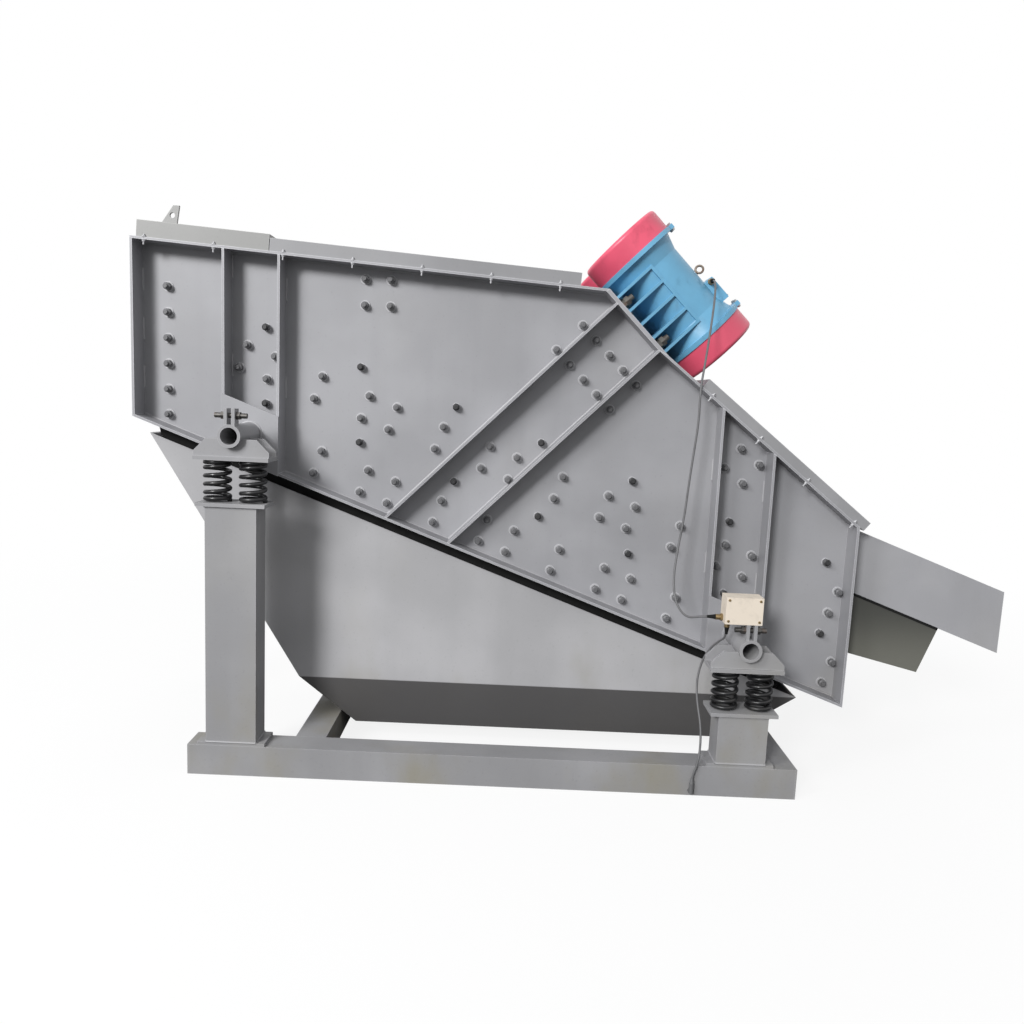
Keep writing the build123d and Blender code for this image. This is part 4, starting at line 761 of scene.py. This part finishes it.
tab_bolts = bmesh.new()
terminal_screws = bmesh.new()
for y in (-MOTOR_Y, MOTOR_Y):
    middle = seat(MOTOR_ALONG_SEAT, MOTOR_AXIS_HEIGHT, y)
    for end in SIDES:
        for i in SIDES:
            tab = middle + THROW * TAB_HEIGHT + Vector((0, i * TAB_HALF_SPACING, 0))
            spot = tab + ALONG * end * MOTOR_HALF
            inner_spot = spot - ALONG * end * TAB_THICKNESS
            bolt(tab_bolts, spot, ALONG * end, TAB_BOLT_RADIUS, TAB_BOLT_HEIGHT)
            bolt(tab_bolts, inner_spot, ALONG * -end, TAB_BOLT_RADIUS, TAB_BOLT_HEIGHT)
    for i in SIDES:
        for j in SIDES:
            corner = ALONG * (TERMINAL_ALONG + i * 0.048) + Vector((0, j * 0.050, 0))
            bolt(terminal_screws, middle + corner + THROW * TERMINAL_TOP, THROW, 0.0045, 0.004, 1.0)
link_piece(tab_bolts, "motor_tab_bolts", bolt_steel, "sieve_box")
link_piece(terminal_screws, "terminal_screws", bolt_steel, "sieve_box")

# Junction box screws
SCREW_INSET = 0.012
shape = bmesh.new()
low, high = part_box("junction_lid")
for x in (low.x + SCREW_INSET, high.x - SCREW_INSET):
    for z in (low.z + SCREW_INSET, high.z - SCREW_INSET):
        peg(shape, (x, low.y, z), NEAR, 0.0055, 0.0025, 16, 0.0045)
link_piece(shape, "junction_screws", gland_brass, "sieve_box")

# Floor that shows the shadow near the machine and fades to white further off, daylight and lamps
floor_finish = Finish("floor_white", roughness=0.9)
seen = floor_finish.number("ShaderNodeLightPath")
floor_finish.set("Base Color", floor_finish.mix(seen, (0.10, 0.10, 0.10, 1), (0.95, 0.95, 0.95, 1)))
glow = floor_finish.node("ShaderNodeEmission", None, {"Color": (1, 1, 1, 1), "Strength": 1.0})
away = floor_finish.node("ShaderNodeVectorMath", {"operation": "LENGTH"}, {0: floor_finish.place()})
white_share = floor_finish.ramp(Number(floor_finish, away.outputs["Value"]), 2.2, 6.0) * 0.14 + 0.86
sockets = {0: seen * white_share, 1: floor_finish.shader.outputs[0], 2: glow.outputs[0]}
blend_white = floor_finish.node("ShaderNodeMixShader", None, sockets)
floor_finish.feed(floor_finish.tree.nodes["Material Output"].inputs["Surface"], blend_white.outputs[0])
floor_mesh = bpy.data.meshes.new("floor")
shape = bmesh.new()
bmesh.ops.create_grid(shape, x_segments=1, y_segments=1, size=30)
shape.to_mesh(floor_mesh)
shape.free()
floor = bpy.data.objects.new("floor", floor_mesh)
floor_mesh.materials.append(floor_finish.material)
scene.collection.objects.link(floor)

world = bpy.data.worlds.new("daylight")
world.use_nodes = True
scene.world = world
sky = world.node_tree
daylight = sky.nodes["Background"]
daylight.inputs["Color"].default_value = (0.98, 0.99, 1.0, 1)
daylight.inputs["Strength"].default_value = 0.50
white = sky.nodes.new("ShaderNodeBackground")
white.inputs["Color"].default_value = (1, 1, 1, 1)
white.inputs["Strength"].default_value = 1.0
rays = sky.nodes.new("ShaderNodeLightPath")
shiny = sky.nodes.new("ShaderNodeMath")
shiny.operation = "MAXIMUM"
sky.links.new(rays.outputs["Is Camera Ray"], shiny.inputs[0])
sky.links.new(rays.outputs["Is Glossy Ray"], shiny.inputs[1])
choose = sky.nodes.new("ShaderNodeMixShader")
sky.links.new(shiny.outputs[0], choose.inputs[0])
sky.links.new(daylight.outputs[0], choose.inputs[1])
sky.links.new(white.outputs[0], choose.inputs[2])
sky.links.new(choose.outputs[0], sky.nodes["World Output"].inputs["Surface"])


def soft_sun(name, direction, strength, spread, gloss=True):
    """Broad sun that shines along a direction, with or without a reflection of its own."""
    lamp = bpy.data.lights.new(name, "SUN")
    lamp.energy = strength
    lamp.angle = radians(spread)
    holder = bpy.data.objects.new(name, lamp)
    holder.rotation_euler = Vector(direction).to_track_quat("-Z", "Y").to_euler()
    holder.visible_glossy = gloss
    scene.collection.objects.link(holder)


soft_sun("key_light", (0.42, 0.76, -0.38), 2.0, 13)
soft_sun("far_side_light", (-0.35, -0.85, -0.40), 0.8, 25, gloss=False)
PANEL_PLACE = Vector((-3.6, -4.2, 4.0))
PANEL_AIM = Vector((-0.7, -0.6, 1.4))
panel = bpy.data.lights.new("feed_side_panel", "AREA")
panel.shape = "DISK"
panel.size = 1.6
panel.energy = 125
panel_holder = bpy.data.objects.new("feed_side_panel", panel)
panel_holder.location = PANEL_PLACE
panel_holder.rotation_euler = (PANEL_AIM - PANEL_PLACE).to_track_quat("-Z", "Y").to_euler()
scene.collection.objects.link(panel_holder)
